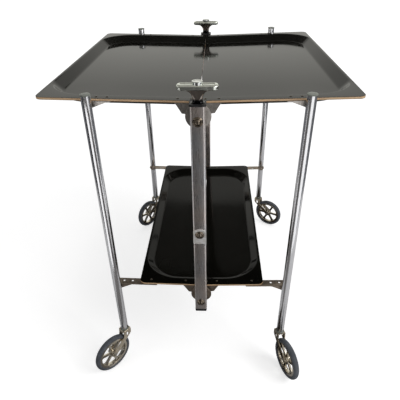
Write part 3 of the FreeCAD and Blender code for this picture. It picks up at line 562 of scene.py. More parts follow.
class Finish:
    """A material in the making: one shader, and patterns that its inputs read. The
    patterns lie on Object coordinates, or on the piece's own map."""

    def __init__(self, slot, colour, metallic, roughness, coordinates="Object"):
        self.tree = empty_material(f"{slot}_finish").node_tree
        self.shader = self.node("BsdfPrincipled", {
            "Base Color": opaque(colour), "Metallic": metallic, "Roughness": roughness})
        self.node("OutputMaterial", {"Surface": self.shader.outputs["BSDF"]})
        self.where = self.node("TexCoord").outputs[coordinates]
        self.normal = None

    def node(self, kind, sockets=(), **options):
        return add_node(self.tree, kind, sockets, **options)

    def set(self, socket, value):
        self.shader.inputs[socket].default_value = value

    def join(self, source, socket):
        self.tree.links.new(source, self.shader.inputs[socket])

    def base(self):
        """The output that gives the colour so far."""
        return self.shader.inputs["Base Color"].links[0].from_socket

    def cloud(self, scale, detail=4.0, stretch=(1.0, 1.0, 1.0), distortion=0.0):
        """Soft random pattern; scale is in features per metre."""
        place = self.node("Mapping", {"Vector": self.where, "Scale": stretch})
        noise = {"Vector": place.outputs["Vector"], "Scale": scale, "Detail": detail,
                 "Distortion": distortion}
        return self.node("TexNoise", noise).outputs["Fac"]

    def cells(self, scale):
        """Distance to the nearest of scattered points."""
        sockets = {"Vector": self.where, "Scale": scale}
        return self.node("TexVoronoi", sockets).outputs["Distance"]

    def between(self, pattern, low, high, from_low=0.35, from_high=0.65):
        """A number from low to high as the pattern goes from from_low to from_high."""
        return self.node("MapRange", {
            "Value": pattern, "From Min": from_low, "From Max": from_high,
            "To Min": low, "To Max": high}).outputs["Result"]

    def height(self, low, high):
        """A number that goes from 0 to 1 as the height goes from low to high."""
        split = self.node("SeparateXYZ", {0: self.where})
        return self.between(split.outputs["Z"], 0.0, 1.0, low, high)

    def blend(self, amount, first, second):
        """The first colour where the amount is 0, the second where it is 1."""
        sockets = {"Factor": amount, MIX_FIRST: opaque(first), MIX_SECOND: opaque(second)}
        return self.node("Mix", sockets, data_type="RGBA").outputs[MIX_RESULT]

    def tint(self, amount, first, second):
        self.join(self.blend(amount, first, second), "Base Color")

    def rough(self, pattern, low, high):
        self.join(self.between(pattern, low, high), "Roughness")

    def bump(self, pattern, depth):
        """Raises the surface by the pattern times the depth, in metres."""
        sockets = {"Height": pattern, "Distance": depth, "Strength": 1.0}
        if self.normal is not None:
            sockets["Normal"] = self.normal
        self.normal = self.node("Bump", sockets).outputs["Normal"]
        self.join(self.normal, "Normal")


def scaled(colour, factor):
    """A colour made lighter or darker, and never brighter than white."""
    return tuple(min(1.0, channel * factor) for channel in colour)


def laminate_finish(colours):
    """Black glossy laminate with faint wipe marks and fine scratches."""
    finish = Finish("tray_laminate", colours.laminate, 0.0, 0.06)
    smears = finish.cloud(9.0, detail=5.0, stretch=(1.0, 0.45, 1.0), distortion=0.4)
    fine = finish.cloud(420.0, detail=3.0, stretch=(1.0, 0.05, 1.0))
    specks = finish.cells(260.0)
    worn = finish.blend(finish.between(smears, 0.0, 1.0), colours.laminate,
                        scaled(colours.laminate, 1.5))
    finish.tint(finish.between(specks, 0.6, 0.0, 0.02, 0.1), worn, scaled(colours.laminate, 9.0))
    finish.rough(smears, 0.05, 0.12)
    finish.bump(fine, 0.0000022)
    finish.set("IOR", 1.185)
    return finish


def plywood_finish(colours):
    """Veneers one on another, seen at the edge: bands through the thickness, broken by
    grain along the edge. It reads the shell's own map: along the edge, then through."""
    finish = Finish("plywood", colours.ply_light, 0.0, 0.5, "UV")
    grain = finish.cloud(900.0, detail=5.0, stretch=(0.05, 1.0, 1.0), distortion=0.3)
    pores = finish.cloud(2600.0, detail=2.0, stretch=(0.2, 1.0, 1.0))
    layers = {"Vector": finish.where, "Scale": 280.0, "Distortion": 1.2, "Detail": 2.0}
    wave = finish.node("TexWave", layers, wave_type="BANDS", bands_direction="Y")
    bands = finish.blend(finish.between(wave.outputs["Fac"], 0.0, 1.0, 0.3, 0.7),
                         colours.ply_dark, colours.ply_light)
    shade = finish.between(grain, 0.0, 0.75, 0.4, 0.7)
    finish.tint(shade, bands, scaled(colours.ply_dark, 0.7))
    finish.rough(pores, 0.38, 0.6)
    finish.bump(grain, 0.00005)
    return finish


def hinge_finish(colours):
    """Satin steel, lighter and greyer at the upper tray's fittings and darker and browner towards
    the lower one's, by height alone.
    """
    finish = satin_metal("hinge_steel", colours.hinge, 0.34, (1.0, 1.0, 0.08))
    base = finish.base()
    upper, lower = hinge_heights()
    grey = finish.blend(finish.cloud(140.0), scaled(colours.hinge_grey, 0.8),
                        scaled(colours.hinge_grey, 1.15))
    # Darker and browner towards the bottom, lighter and greyer towards the top, set by height
    # only.
    finish.tint(finish.height(lower, upper - STEEL_GREY_BELOW), base, grey)
    return finish


def satin_metal(slot, colour, roughness, scratch, warm=(1.0, 0.96, 0.9), blotch=60.0):
    """Worked metal: soft blotches of tone, warmer where dull, fine scratches drawn out
    as the scratch stretch says, and an uneven sheen."""
    finish = Finish(slot, colour, 1.0, roughness)
    blotches = finish.cloud(blotch)
    scratches = finish.cloud(1400.0, detail=3.0, stretch=scratch)
    toned = tuple(channel * tone for channel, tone in zip(scaled(colour, 0.72), warm))
    worn = finish.blend(finish.between(blotches, 0.0, 1.0), toned, tuple(colour))
    finish.tint(finish.between(scratches, 0.0, 0.5, 0.45, 0.75), worn, scaled(colour, 1.25))
    finish.rough(scratches, roughness * 0.75, roughness * 1.35)
    finish.bump(scratches, 0.000006)
    return finish


def column_finish(colours):
    """Satin sprayed metal with a fine speckle and faint marks along the tube."""
    finish = Finish("column_metal", colours.column, 1.0, 0.3)
    speckle = finish.cells(1900.0)
    marks = finish.cloud(500.0, detail=3.0, stretch=(1.0, 1.0, 0.06))
    broad = finish.cloud(22.0, detail=3.0, stretch=(1.0, 1.0, 0.5))
    base = finish.blend(finish.between(broad, 0.0, 1.0), scaled(colours.column_cool, 0.92),
                        tuple(colours.column))
    finish.tint(finish.between(speckle, 0.45, 0.0, 0.1, 0.6), base,
                scaled(colours.column, 1.7))
    finish.rough(marks, 0.26, 0.32)
    finish.bump(speckle, 0.000012)
    finish.bump(marks, 0.000002)
    return finish


def polished_finish(slot, colour, roughness, haze, dullest=1.7):
    """Polished metal: a clean mirror with haze, small pits and hairlines along Z. In the
    haze the roughness grows to the dullest times its stated value."""
    finish = Finish(slot, colour, 1.0, roughness)
    clouds = finish.cloud(haze, stretch=(1.0, 1.0, 0.35))
    hairs = finish.cloud(1800.0, detail=2.0, stretch=(1.0, 1.0, 0.04))
    pits = finish.cells(420.0)
    worn = finish.blend(finish.between(clouds, 0.0, 1.0), scaled(colour, 0.86), tuple(colour))
    finish.tint(finish.between(pits, 0.5, 0.0, 0.02, 0.12), worn, scaled(colour, 0.5))
    finish.rough(clouds, roughness * 0.7, roughness * dullest)
    finish.bump(hairs, 0.0000025)
    return finish


def neck_finish(colours):
    """Dark polished metal above the waist, and black in and below it."""
    finish = polished_finish("handle_black", colours.neck, 0.12, 120.0)
    shape = settings().column
    waist = node_box("handle_necks")[0][2] + shape.neck_waist_height
    base = finish.base()
    finish.tint(finish.height(waist, waist + shape.neck_black), colours.black, base)
    return finish


def plastic_finish(slot, colour, roughness, grain_depth):
    """Moulded plastic: fine grain, and wear that lightens it in soft patches."""
    finish = Finish(slot, colour, 0.0, roughness)
    patches = finish.cloud(150.0)
    grain = finish.cloud(2600.0, detail=2.0)
    finish.tint(finish.between(patches, 0.0, 1.0), tuple(colour), scaled(colour, 1.45))
    finish.rough(patches, roughness * 0.8, roughness * 1.25)
    finish.bump(grain, grain_depth)
    finish.set("Specular IOR Level", 0.25)
    return finish


def tyre_finish(colours):
    """Rubber: matt, with pale scuffs and dust in the grain."""
    finish = Finish("tyre", colours.tyre, 0.0, 0.62)
    scuffs = finish.cloud(75.0, detail=5.0, distortion=0.5)
    grain = finish.cloud(1700.0, detail=3.0)
    finish.tint(finish.between(scuffs, 0.0, 0.8, 0.42, 0.72), tuple(colours.tyre),
                scaled(colours.tyre, 1.9))
    finish.rough(grain, 0.5, 0.74)
    finish.bump(grain, 0.00004)
    return finish


# ---- tray halves ----
def half_rings(seam, half_x, half_y, radius, steps=18, straight=6):
    """Half outlines of a rounded rectangle, one a row: along the front from the seam,
    round a corner, along the outer side, round a corner and back along the rear."""
    half_x, half_y, radius = as_rows(half_x, half_y, radius)
    run = np.linspace(0.0, 1.0, straight + 1)[None, :-1]
    quarter = np.linspace(-RIGHT_ANGLE, 0.0, steps + 1)[None]
    x_run = seam + run * (half_x - radius - seam)
    y_run = -half_y + radius + run * 2.0 * (half_y - radius)
    front = np.stack([x_run, np.broadcast_to(-half_y, x_run.shape)], axis=-1)
    corner = on_circle(radius, quarter, half_x - radius, radius - half_y)
    side = np.stack([np.broadcast_to(half_x, y_run.shape), y_run], axis=-1)[:, 1:]
    flip = np.array((1.0, -1.0))
    return np.concatenate([front, corner, side, corner[:, ::-1] * flip,
                           front[:, ::-1] * flip], axis=1)


class TrayHalf:
    """One half tray, in its own flat frame: X along the half from the hinge axis, the
    rim's top at height 0. The flat frame is tilted about the hinge axis."""

    EDGE_BAND = 0.0004       # a narrow ring in from the edge, which keeps the rim's shading flat
    FLOOR_RINGS = np.array((0.66, 0.33, 0.0))      # how far out of the middle they lie

    def __init__(self, level, side):
        self.shape = settings().tray
        self.hinge = joint_place(f"{level}_{side}_fold")
        self.sign = 1.0 if side == "right" else -1.0
        low, high = node_box(f"{level}_{side}_laminate")
        self.half_depth = (high[1] - low[1]) / 2.0
        self.drop = self.shape.rim_above_hinge
        self.cos, self.sin = math.cos(self.shape.dish), math.sin(self.shape.dish)
        edge = max(high[0] - self.hinge[0], self.hinge[0] - low[0])
        lowest = self.drop - self.thickness()
        self.edge = (edge + lowest * self.sin) / self.cos
        self.seam = (self.shape.seam + self.drop * self.sin) / self.cos

    def thickness(self):
        return self.shape.ply + 2.0 * self.shape.skin

    def tilt(self, points):
        """Flat frame to the table's frame: turned about the hinge by the dish."""
        along = points[..., 0]
        above = points[..., 2] + self.drop
        x = self.sign * (along * self.cos - above * self.sin)
        z = along * self.sin + above * self.cos
        return np.stack([x, points[..., 1], z], axis=-1) + self.hinge

    def surface(self, depth, ease=0.0):
        """The tray's face at a depth under its top, as rings from the outer edge to the
        middle of the floor: outer edge, flat rim, lip arc, sloping wall, cove arc and
        flat floor. An offset by the depth moves a 45 degree corner by its tangent of
        22.5 degrees, takes the depth from the lip's radius and adds it to the cove's."""
        shape = self.shape
        corner = math.tan(math.radians(22.5))
        grow = depth * corner
        lip = shape.lip_radius - depth
        cove = shape.cove_radius + depth
        angle = np.linspace(0.0, math.pi / 4.0, 8)
        lip_in = -grow - lip * corner + lip * np.sin(angle)
        lip_z = -depth - lip + lip * np.cos(angle)
        foot = shape.recess_run - grow + cove * corner
        cove_in = foot - cove * np.sin(angle[::-1])
        cove_z = -depth - shape.recess_depth + cove - cove * np.cos(angle[::-1])
        inset = np.concatenate([lip_in, cove_in])
        height = np.concatenate([lip_z, cove_z])
        bowl = half_rings(self.seam, self.edge - shape.rim_sides - inset,
                          self.half_depth - shape.rim_ends - inset,
                          shape.recess_corner - inset)
        soft = np.linspace(0.0, RIGHT_ANGLE, 4) if ease else np.zeros(1)
        edge_in = ease * (1.0 - np.cos(soft))
        edge_z = -depth - ease * (1.0 - np.sin(soft)) if ease else np.array([-depth])
        edge_in = np.append(edge_in, edge_in[-1] + self.EDGE_BAND)
        edge_z = np.append(edge_z, edge_z[-1])
        outer = half_rings(self.seam, self.edge - edge_in, self.half_depth - edge_in,
                           shape.outer_corner - edge_in)
        middle = np.array((self.seam, 0.0))
        floor = middle + (bowl[-1:] - middle) * self.FLOOR_RINGS[:, None, None]
        floor_z = np.full(len(floor), height[-1])
        rings = np.concatenate([outer, bowl, floor])
        return at_heights(rings, np.concatenate([edge_z, height, floor_z]))

    def layer(self, shell, top_depth, low_depth, top_ease=0.0):
        """A closed sheet between two depths: both faces, the outer wall and the two
        stretches of wall at the seam."""
        top = self.surface(top_depth, top_ease)
        low = self.surface(low_depth)
        low = np.concatenate([np.repeat(low[:1], len(top) - len(low), axis=0), low])
        for face in (top, low):
            shell.add(self.tilt(face), uv=self.edge_map(face))
        wall = np.stack([top[0], low[0]])
        shell.add(self.tilt(wall), uv=self.edge_map(wall))
        for column in (0, -1):
            seam_wall = np.stack([top[:, column], low[:, column]])
            shell.add(self.tilt(seam_wall))
        return shell

    def edge_map(self, points):
        """Map of a face: the way along the tray's rings, and the height."""
        step = np.diff(points[..., :2], axis=1, prepend=points[:, :1, :2])
        along = np.cumsum(np.linalg.norm(step, axis=-1), axis=1)
        return np.stack([along, points[..., 2]], axis=-1)

    def rivet_places(self, level):
        """How far out along the half its rivets sit."""
        shape = self.shape
        if level == "upper":
            legs = abs(joint_place("rear_right_leg_pivot")[0] - self.hinge[0])
            outer = [legs - shape.rivet_before_leg, legs - shape.rivet_at_leg]
        else:
            outer = [self.edge - shape.rivet_from_edge]
        return [shape.rivet_first, shape.rivet_second] + outer


def tray_pieces(level, side):
    """Plywood between two laminate skins."""
    half = TrayHalf(level, side)
    shape = half.shape
    node = f"{level}_{side}"
    low_skin = shape.skin + shape.ply
    ply = half.layer(Shell(), shape.skin, low_skin)
    ply.piece(f"{node}_plywood", f"{node}_tray", "plywood")
    skins = half.layer(Shell(), 0.0, shape.skin, shape.edge_ease)
    half.layer(skins, low_skin, half.thickness())
    skins.piece(f"{node}_skins", f"{node}_laminate", "tray_laminate")


def rivet_pieces(level, side):
    """Rivets through the rim and the flange under it, a low dome at both ends."""
    half = TrayHalf(level, side)
    shape = half.shape
    low = -half.thickness() - shape.flange
    head = dome(shape.rivet_head, shape.rivet_height, 6)
    tail = head * (1.0, -1.0) + (0.0, low)
    shank = [(shape.rivet_radius, 0.0), (shape.rivet_radius, low)]
    profile = np.concatenate([head[::-1], shank, tail])
    shell = Shell()
    line = half.half_depth - shape.rivet_inset
    for x in half.rivet_places(level):
        for y in (-line, line):
            shell.add(half.tilt(turned(profile, (x, y, 0.0), UP, segments=20)),
                      closed_across=True)
    shell.piece(f"{level}_{side}_rivet_heads", f"{level}_{side}_rivets", "rivet_steel")


# ---- flat steel and castor forks ----
def eased_copy(node, name, finish, ease):
    """The node's own shape with its loose triangles merged, flat faces made whole and
    its edges rounded."""
    mesh = frame["nodes"][node].data.copy()
    mesh.name = name
    whole = bmesh.new()
    whole.from_mesh(mesh)
    bmesh.ops.remove_doubles(whole, verts=whole.verts, dist=WELD)
    bmesh.ops.dissolve_limit(whole, angle_limit=FLAT_WITHIN, verts=whole.verts,
                             edges=whole.edges)
    whole.to_mesh(mesh)
    whole.free()
    piece = placed(mesh, name, node, finish, SHARP_FROM)
    bevel = piece.modifiers.new("eased_edges", "BEVEL")
    bevel.width = ease
    bevel.segments = 2
    bevel.limit_method = "ANGLE"
    bevel.angle_limit = SHARP_FROM
    bevel.use_clamp_overlap = False
    bevel.harden_normals = True
    return piece


# ---- columns and handles ----
def column_middle(end):
    """The middle of a column's box."""
    low, high = node_box(f"{end}_column")
    return (low + high) / 2.0


def column_half():
    low, high = node_box("front_column")
    return (high[0] - low[0]) / 2.0


def column_tube(end):
    """A square tube: outer face, inner face and the two ends between them."""
    shape = settings().column
    low, high = node_box(f"{end}_column")
    bottom, top = low[2], high[2]
    half = column_half()
    soft = shape.wall * 0.2
    levels = [(soft, bottom), (0.0, bottom + soft), (0.0, top - soft), (soft, top),
              (shape.wall, top), (shape.wall, bottom)]
    grid = carried_rectangle(levels, column_middle(end), half, half, shape.corner)
    shell = Shell().add(grid, closed_across=True, closed_along=True)
    shell.piece(f"{end}_column_tube", f"{end}_column", "column_metal")


def column_ends():
    """End caps and collars, each with the plug that holds it in the tube."""
    shape = settings().column
    half = column_half()
    plug = shape.wall + shape.plug_gap
    collar_top = node_box("column_collars")[1]
    wide = collar_top[0]
    over = wide - half
    cap_edge, collar_edge = shape.cap_edge, shape.collar_edge
    caps, collars = Shell(), Shell()
    for end in ENDS:
        low, high = node_box(f"{end}_column")
        centre = column_middle(end)
        foot, plug_top = low[2] - shape.cap_height, low[2] + shape.plug_depth
        cap = np.concatenate([
            [(half, foot)],
            arc_levels(cap_edge, foot + cap_edge, cap_edge, -90.0, 0.0),
            [(0.0, low[2]), (plug, low[2]), (plug, plug_top), (half, plug_top)]])
        caps.add(carried_rectangle(cap, centre, half, half, shape.corner), closed_across=True)
        plug_foot = high[2] - shape.plug_depth
        collar = np.concatenate([
            [(wide, plug_foot), (plug + over, plug_foot), (plug + over, high[2]), (0.0, high[2])],
            arc_levels(collar_edge, collar_top[2] - collar_edge, collar_edge, 0.0, 90.0),
            [(wide, collar_top[2])]])
        grid = carried_rectangle(collar, centre, wide, wide, shape.corner + over)
        collars.add(grid, closed_across=True)
    caps.piece("column_foot_caps", "column_end_caps", "black_plastic")
    collars.piece("column_top_collars", "column_collars", "black_plastic")


def neck_rings(radius, flat, steps=10, straight=4):
    """Round rings cut flat at the front and back: of each quarter, the arc up to where
    it reaches the flat, and then the straight run to the middle of the flat."""
    radius = np.asarray(radius, float)[:, None]
    limit = np.arcsin(np.clip(flat / radius, 0.0, 1.0))
    arc = on_circle(radius, limit * np.linspace(0.0, 1.0, steps + 1))
    reach = arc[:, -1:, 0] * np.linspace(1.0, 0.0, straight + 1)
    run = np.stack([reach, np.broadcast_to(arc[:, -1:, 1], reach.shape)], axis=-1)
    quarter = np.concatenate([arc, run], axis=1)
    half = np.concatenate([quarter, quarter[:, ::-1] * (-1.0, 1.0)], axis=1)
    return np.concatenate([half, half[:, ::-1] * (1.0, -1.0)], axis=1)


def handle_necks():
    """Waisted necks: a short foot that draws in to the waist by a sine, then a wide
    flare that spreads by a cosine."""
    shape = settings().column
    low, high = node_box("handle_necks")
    waist = low[2] + shape.neck_waist_height
    foot = np.linspace(0.0, RIGHT_ANGLE, 9)
    foot_radius = shape.neck_foot - (shape.neck_foot - shape.neck_waist) * np.sin(foot)
    foot_height = waist - (waist - low[2]) * np.cos(foot)
    flare = np.linspace(0.0, RIGHT_ANGLE, 17)[1:]
    flare_radius = shape.neck_spread - (shape.neck_spread - shape.neck_waist) * np.cos(flare)
    flare_height = waist + (high[2] - waist) * np.sin(flare)
    radius = np.concatenate([[POLE], foot_radius, flare_radius, [POLE]])
    height = np.concatenate([[low[2]], foot_height, flare_height, [high[2]]])
    rings = neck_rings(radius, shape.neck_flat)
    shell = Shell()
    for end in ENDS:
        shell.add(at_heights(rings + column_middle(end)[:2], height), closed_across=True)
    shell.piece("handle_neck_mouldings", "handle_necks", "handle_black")


def handle_bar(end):
    """A rounded bar with a shallow hollow in its top, and a round boss with a raised
    rim. The hollow's side is given by how far in and how far down its points lie."""
    shape = settings().column
    low, high = node_box(f"{end}_handle")
    centre, half = (low + high) / 2.0, (high - low) / 2.0
    bottom, top, boss_top = low[2], low[2] + shape.bar_height, high[2]
    edge, foot = shape.bar_top_edge, shape.bar_foot_edge
    dish, crest = shape.bar_dish, shape.bar_crest
    side = np.array([(0.0, 0.3 * crest), (crest, crest), (dish, 0.9 * dish), (1.6 * dish, dish)])
    levels = np.concatenate([
        [(half[1], bottom)],
        arc_levels(foot, bottom + foot, foot, -90.0, 0.0),
        arc_levels(edge, top - edge, edge, 0.0, 90.0, 8),
        side * (1.0, -1.0) + (shape.bar_dish_inset, top),
        [(half[1], top - dish)]])
    grid = carried_rectangle(levels, centre, half[0], half[1], shape.bar_end)
    bar = Shell().add(grid, closed_across=True)
    bar.piece(f"{end}_handle_bar", f"{end}_handle", "handle_chrome")
    radius, rim, hollow = shape.boss_radius, shape.boss_rim, shape.boss_hollow
    soft = hollow * 0.4
    outline = eased([(0.0, top - edge), (radius, top - edge), (radius, boss_top), (rim, boss_top),
                     (rim - hollow, boss_top - hollow), (0.0, boss_top - hollow)],
                    [0.0, 0.0, shape.boss_edge, soft, soft, 0.0])
    boss = Shell().spin(outline, centre * (1.0, 1.0, 0.0), UP, segments=56)
    boss.piece(f"{end}_handle_boss", f"{end}_handle", "handle_boss")


# ---- hinge fasteners ----
def hinge_heights():
    """Heights of the upper and the lower hinge axis."""
    return [joint_place(f"{level}_right_fold")[2] for level in LEVELS]


def facing(end):
    """Outwards from the table at one end."""
    return np.array((0.0, -1.0 if end == "front" else 1.0, 0.0))


def column_face(end):
    """How far out the outer face of a column stands, along Y."""
    low, high = node_box(f"{end}_column")
    return low[1] if end == "front" else high[1]


def screw_places(end):
    """Where round-headed screws sit on the column: both hinge bolts and the plate's."""
    low, high = node_box("column_plates")
    plate_face = low[1] if end == "front" else high[1]
    plate_screw = low[2] + settings().fastener.plate_screw_rise
    return [(z, column_face(end)) for z in hinge_heights()] + [(plate_screw, plate_face)]


def hinge_fasteners():
    """Cup washers, round-headed bolts and the discs behind the columns."""
    shape = settings().fastener
    washers, bolts, discs = Shell(), Shell(), Shell()
    hole = shape.shank + shape.hole_gap
    mouth = shape.head_radius + shape.washer_mouth
    cup = eased([(hole, 0.0), (shape.washer_radius, 0.0),
                 (shape.washer_radius, shape.washer_rim),
                 (mouth + shape.washer_mouth, shape.washer_height),
                 (mouth, shape.washer_height), (mouth, shape.washer_lip),
                 (hole, shape.washer_lip)],
                [0.0] + 2 * [shape.washer_ease] + 2 * [shape.washer_mouth_ease] + 2 * [0.0], 3)
    disc = sleeve(hole, shape.disc_radius, 0.0, shape.disc_thickness, shape.disc_ease)
    head = dome(shape.head_radius, shape.head_height, 12) + (0.0, shape.washer_lip)
    for end in ENDS:
        out = facing(end)
        back = column_face(end) - out[1] * 2.0 * column_half()
        for index, (z, face) in enumerate(screw_places(end)):
            in_hinge = index < len(LEVELS)
            seat = np.array((0.0, face, z))
            washers.spin(cup, seat, out, segments=56, ring=True)
            tip = -(abs(face - back) + shape.bolt_past) if in_hinge else -shape.plate_screw
            shank = [(0.0, tip), (shape.shank, tip), (shape.shank, shape.washer_lip)]
            bolts.spin(np.concatenate([shank, head]), seat, out, segments=44)
            if in_hinge:
                discs.spin(disc, np.array((0.0, back, z)), -out, segments=72, ring=True)
    washers.piece("screw_cup_washers", "cup_washers", "screw_steel")
    bolts.piece("round_head_bolts", "column_bolts", "screw_steel")
    discs.piece("hinge_spacer_discs", "hinge_discs", "hinge_steel")


# ---- legs ----
def leg_centre(corner):
    """A leg's axis, from the joint its castor swivels on."""
    return joint_place(f"{corner}_swivel") * (1.0, 1.0, 0.0)


def leg_tube(corner):
    """A round tube with slightly eased ends."""
    shape = settings().leg
    low, high = node_box(f"{corner}_leg")
    profile = sleeve(shape.radius - shape.wall, shape.radius, low[2], high[2],
                     ease=shape.wall * 0.2, steps=2)
    tube = Shell().spin(profile, leg_centre(corner), UP, segments=64, ring=True)
    tube.piece(f"{corner}_leg_tube", f"{corner}_leg", "leg_chrome")


def leg_plugs(corner):
    """The cap on top of a leg, and the bush for the castor's stem in its foot."""
    shape = settings().leg
    tube_low, tube_high = node_box(f"{corner}_leg")
    low, high = node_box(f"{corner}_leg_plugs")
    plug = shape.radius - shape.wall - shape.plug_gap
    rim, top, seat = shape.cap_radius, high[2], tube_high[2]
    bevel = shape.cap_bevel
    belly = bevel * 0.3      # how far the bevel's middle point stays short of the corner
    cap = [(0.0, seat - shape.cap_plug), (plug, seat - shape.cap_plug), (plug, seat),
           (rim, seat), (rim, top - bevel), (rim - belly, top - belly), (rim - bevel, top),
           (0.0, top)]
    foot, bush_top = tube_low[2], tube_low[2] + shape.socket_depth
    bore, flange = shape.socket_bore, shape.socket_radius
    bush = eased([(bore, low[2]), (flange, low[2]), (flange, foot), (plug, foot),
                  (plug, bush_top), (bore, bush_top)],
                 [0.0, shape.socket_ease, shape.socket_ease, 0.0, 0.0, 0.0], 3)
    centre = leg_centre(corner)
    shell = Shell().spin(cap, centre, UP, segments=56)
    shell.spin(bush, centre, UP, segments=56, ring=True)
    shell.piece(f"{corner}_leg_cap_and_bush", f"{corner}_leg_plugs", "leg_plug_plastic")


def leg_pins(corner):
    """Shouldered pins at both brackets, each with a spacer against the leg."""
    shape = settings().fastener
    leg = settings().leg.radius
    centre = leg_centre(corner)
    out = facing(corner.split("_")[0])
    top = joint_place(f"{corner}_leg_pivot")[2]
    upper, lower = hinge_heights()
    low, high = node_box(f"{corner}_leg_pins")
    head_end = high[1] if out[1] < 0 else low[1]
    reach = abs(centre[1] - head_end) - shape.pin_head_height
    head = dome(shape.pin_head, shape.pin_head_height, 8) + (0.0, reach)
    shank = [(0.0, shape.pin_end), (shape.pin_radius, shape.pin_end), (shape.pin_radius, reach)]
    spacer = sleeve(shape.pin_radius + shape.hole_gap, shape.spacer_radius, leg,
                    leg + shape.spacer_length, shape.spacer_ease)
    shell = Shell()
    for z in (top, top - (upper - lower)):
        at = np.array((centre[0], centre[1], z))
        shell.spin(np.concatenate([shank, head]), at, -out, segments=32)
        shell.spin(spacer, at, -out, segments=40, ring=True)
    shell.piece(f"{corner}_leg_pins_and_spacers", f"{corner}_leg_pins", "pin_steel")


# ---- castors ----
class CastorFrame:
    """A castor's own directions: along its trail, across the wheel, and up, about the
    middle of the wheel."""

    def __init__(self, corner):
        self.centre = joint_place(f"{corner}_roll")
        self.across = joint_axis(f"{corner}_roll")
        self.along = np.cross(self.across, UP)
        self.radius = self.centre[2]

    def place(self, flat, across):
        """Points of the wheel's plane, along and up, moved across it, to the table's
        frame."""
        moved = self.centre + across[..., None] * self.across
        return moved + flat[..., :1] * self.along + flat[..., 1:] * UP


def castor_pins(corner):
    """The stem with its head inside the fork, and the axle with a head at each side."""
    shape = settings().castor
    castor = CastorFrame(corner)
    top = node_box(f"{corner}_castor_pins")[1][2]
    crown = node_box(f"{corner}_fork")[1][2] - shape.crown
    head_foot = crown - shape.stem_head_height
    stem = [(0.0, head_foot), (shape.stem_head, head_foot), (shape.stem_head, crown),
            (shape.stem_radius, crown), (shape.stem_radius, top - shape.stem_bevel),
            (shape.stem_radius - shape.stem_bevel, top), (0.0, top)]
    shell = Shell().spin(stem, leg_centre(corner), UP, segments=32)
    head = dome(shape.axle_head, shape.axle_head_height, 8) + (0.0, shape.fork_half)
    profile = np.concatenate([head[::-1], [(shape.axle, shape.fork_half)]])
    axle = np.concatenate([profile, profile[::-1] * (1.0, -1.0)])
    shell.spin(axle, castor.centre, castor.across, segments=36)
    shell.piece(f"{corner}_stem_and_axle", f"{corner}_castor_pins", "pin_steel")


def opening(shape, reach, grow):
    """Outlines of the opening between two spokes, one a row and each larger all round
    by its grow: an arc along the rim, a corner, down a spoke's side, the round where
    the spokes meet, and back up the other side. All the rounds are circle arcs."""
    half_turn = math.pi / shape.spokes
    place = reach - shape.window_corner
    corner = half_turn - math.asin((shape.spoke / 2.0 + shape.window_corner) / place)
    square = half_turn + RIGHT_ANGLE
    full = 2.0 * math.pi
    inner = (shape.spoke / 2.0 + shape.window_inner) / math.sin(half_turn)
    x, y = place * math.cos(corner), place * math.sin(corner)
    rim = np.linspace(-corner, corner, ARC_STEPS + 1)[:-1]
    bend = np.linspace(corner, square, BEND_STEPS + 1)
    foot = np.linspace(square, full - square, ARC_STEPS + 1)
    back = np.linspace(full - square, full - corner, BEND_STEPS + 1)[:-1]
    return np.concatenate([
        on_circle(reach + grow, rim), on_circle(shape.window_corner + grow, bend, x, y),
        on_circle(shape.window_inner + grow, foot, inner),
        on_circle(shape.window_corner + grow, back, x, -y)], axis=1)


def sector_edge(inside, outside, half_turn):
    """The sector that one opening lies in, matched point for point to the opening:
    along the rim, down a spoke's middle, along the hub and up the next spoke."""
    rim = np.linspace(-half_turn, half_turn, ARC_STEPS + 1)
    down = np.linspace(outside, inside, BEND_STEPS + 2)[:-1]
    up = down[:0:-1]
    radius = np.concatenate([np.full(len(rim) - 1, outside), down,
                             np.full(len(rim), inside), up])
    angle = np.concatenate([rim[:-1], np.full(len(down), half_turn), rim[::-1],
                            np.full(len(up), -half_turn)])
    return on_circle(radius, angle)


def wheel_piece(corner):
    """A spoked wheel. Each sector between two spokes is one surface: from the sector's
    edge in to the opening, round the opening's rounded edge, through it, and back out
    on the other side. Hub and rim are turned."""
    shape = settings().castor
    castor = CastorFrame(corner)
    seat = castor.radius - shape.tyre_thickness
    rim_in = seat - shape.rim_thickness
    half = shape.web_half
    bend = np.linspace(RIGHT_ANGLE, 0.0, 5)
    out = shape.edge * (1.0 - np.cos(bend))
    height = half - shape.edge * (1.0 - np.sin(bend))
    grow = np.concatenate([out, out[::-1]])[:, None]
    holes = opening(shape, rim_in + shape.window_into_rim, grow)
    inside, outside = shape.hub - shape.web_into_hub, rim_in + shape.web_into_rim
    spread = math.pi / shape.spokes
    border = sector_edge(inside, outside, spread)[None]
    outline = np.concatenate([border, holes, border])
    across = np.concatenate([[half], height, -height[::-1], [-half]])
    across = np.broadcast_to(across[:, None], outline.shape[:2])
    strip = np.tile(np.linspace(-spread, spread, ARC_STEPS + 1), (2, 1))
    strip_across = np.broadcast_to([[half], [-half]], strip.shape)
    first = -math.radians(SPOKE_TURNS[corner])
    shell = Shell()
    for turned_by in first - np.arange(shape.spokes) * 2.0 * spread:
        cos, sin = math.cos(turned_by), math.sin(turned_by)
        face = outline @ np.array(((cos, sin), (-sin, cos)))
        shell.add(castor.place(face, across), closed_across=True)
        for radius in (outside, inside):
            shell.add(castor.place(on_circle(radius, strip + turned_by), strip_across))
    hub = sleeve(shape.axle + shape.bore_gap, shape.hub, -shape.hub_half, shape.hub_half,
                 shape.hub_ease, steps=4)
    rim = sleeve(rim_in, seat, -shape.rim_half, shape.rim_half, shape.rim_ease, steps=4,
                 inner_ease=shape.rim_inner_ease)
    for profile, segments in ((hub, 48), (rim, 120)):
        shell.spin(profile, castor.centre, castor.across, segments, ring=True)
    shell.piece(f"{corner}_spoked_wheel", f"{corner}_wheel", "wheel_metal")


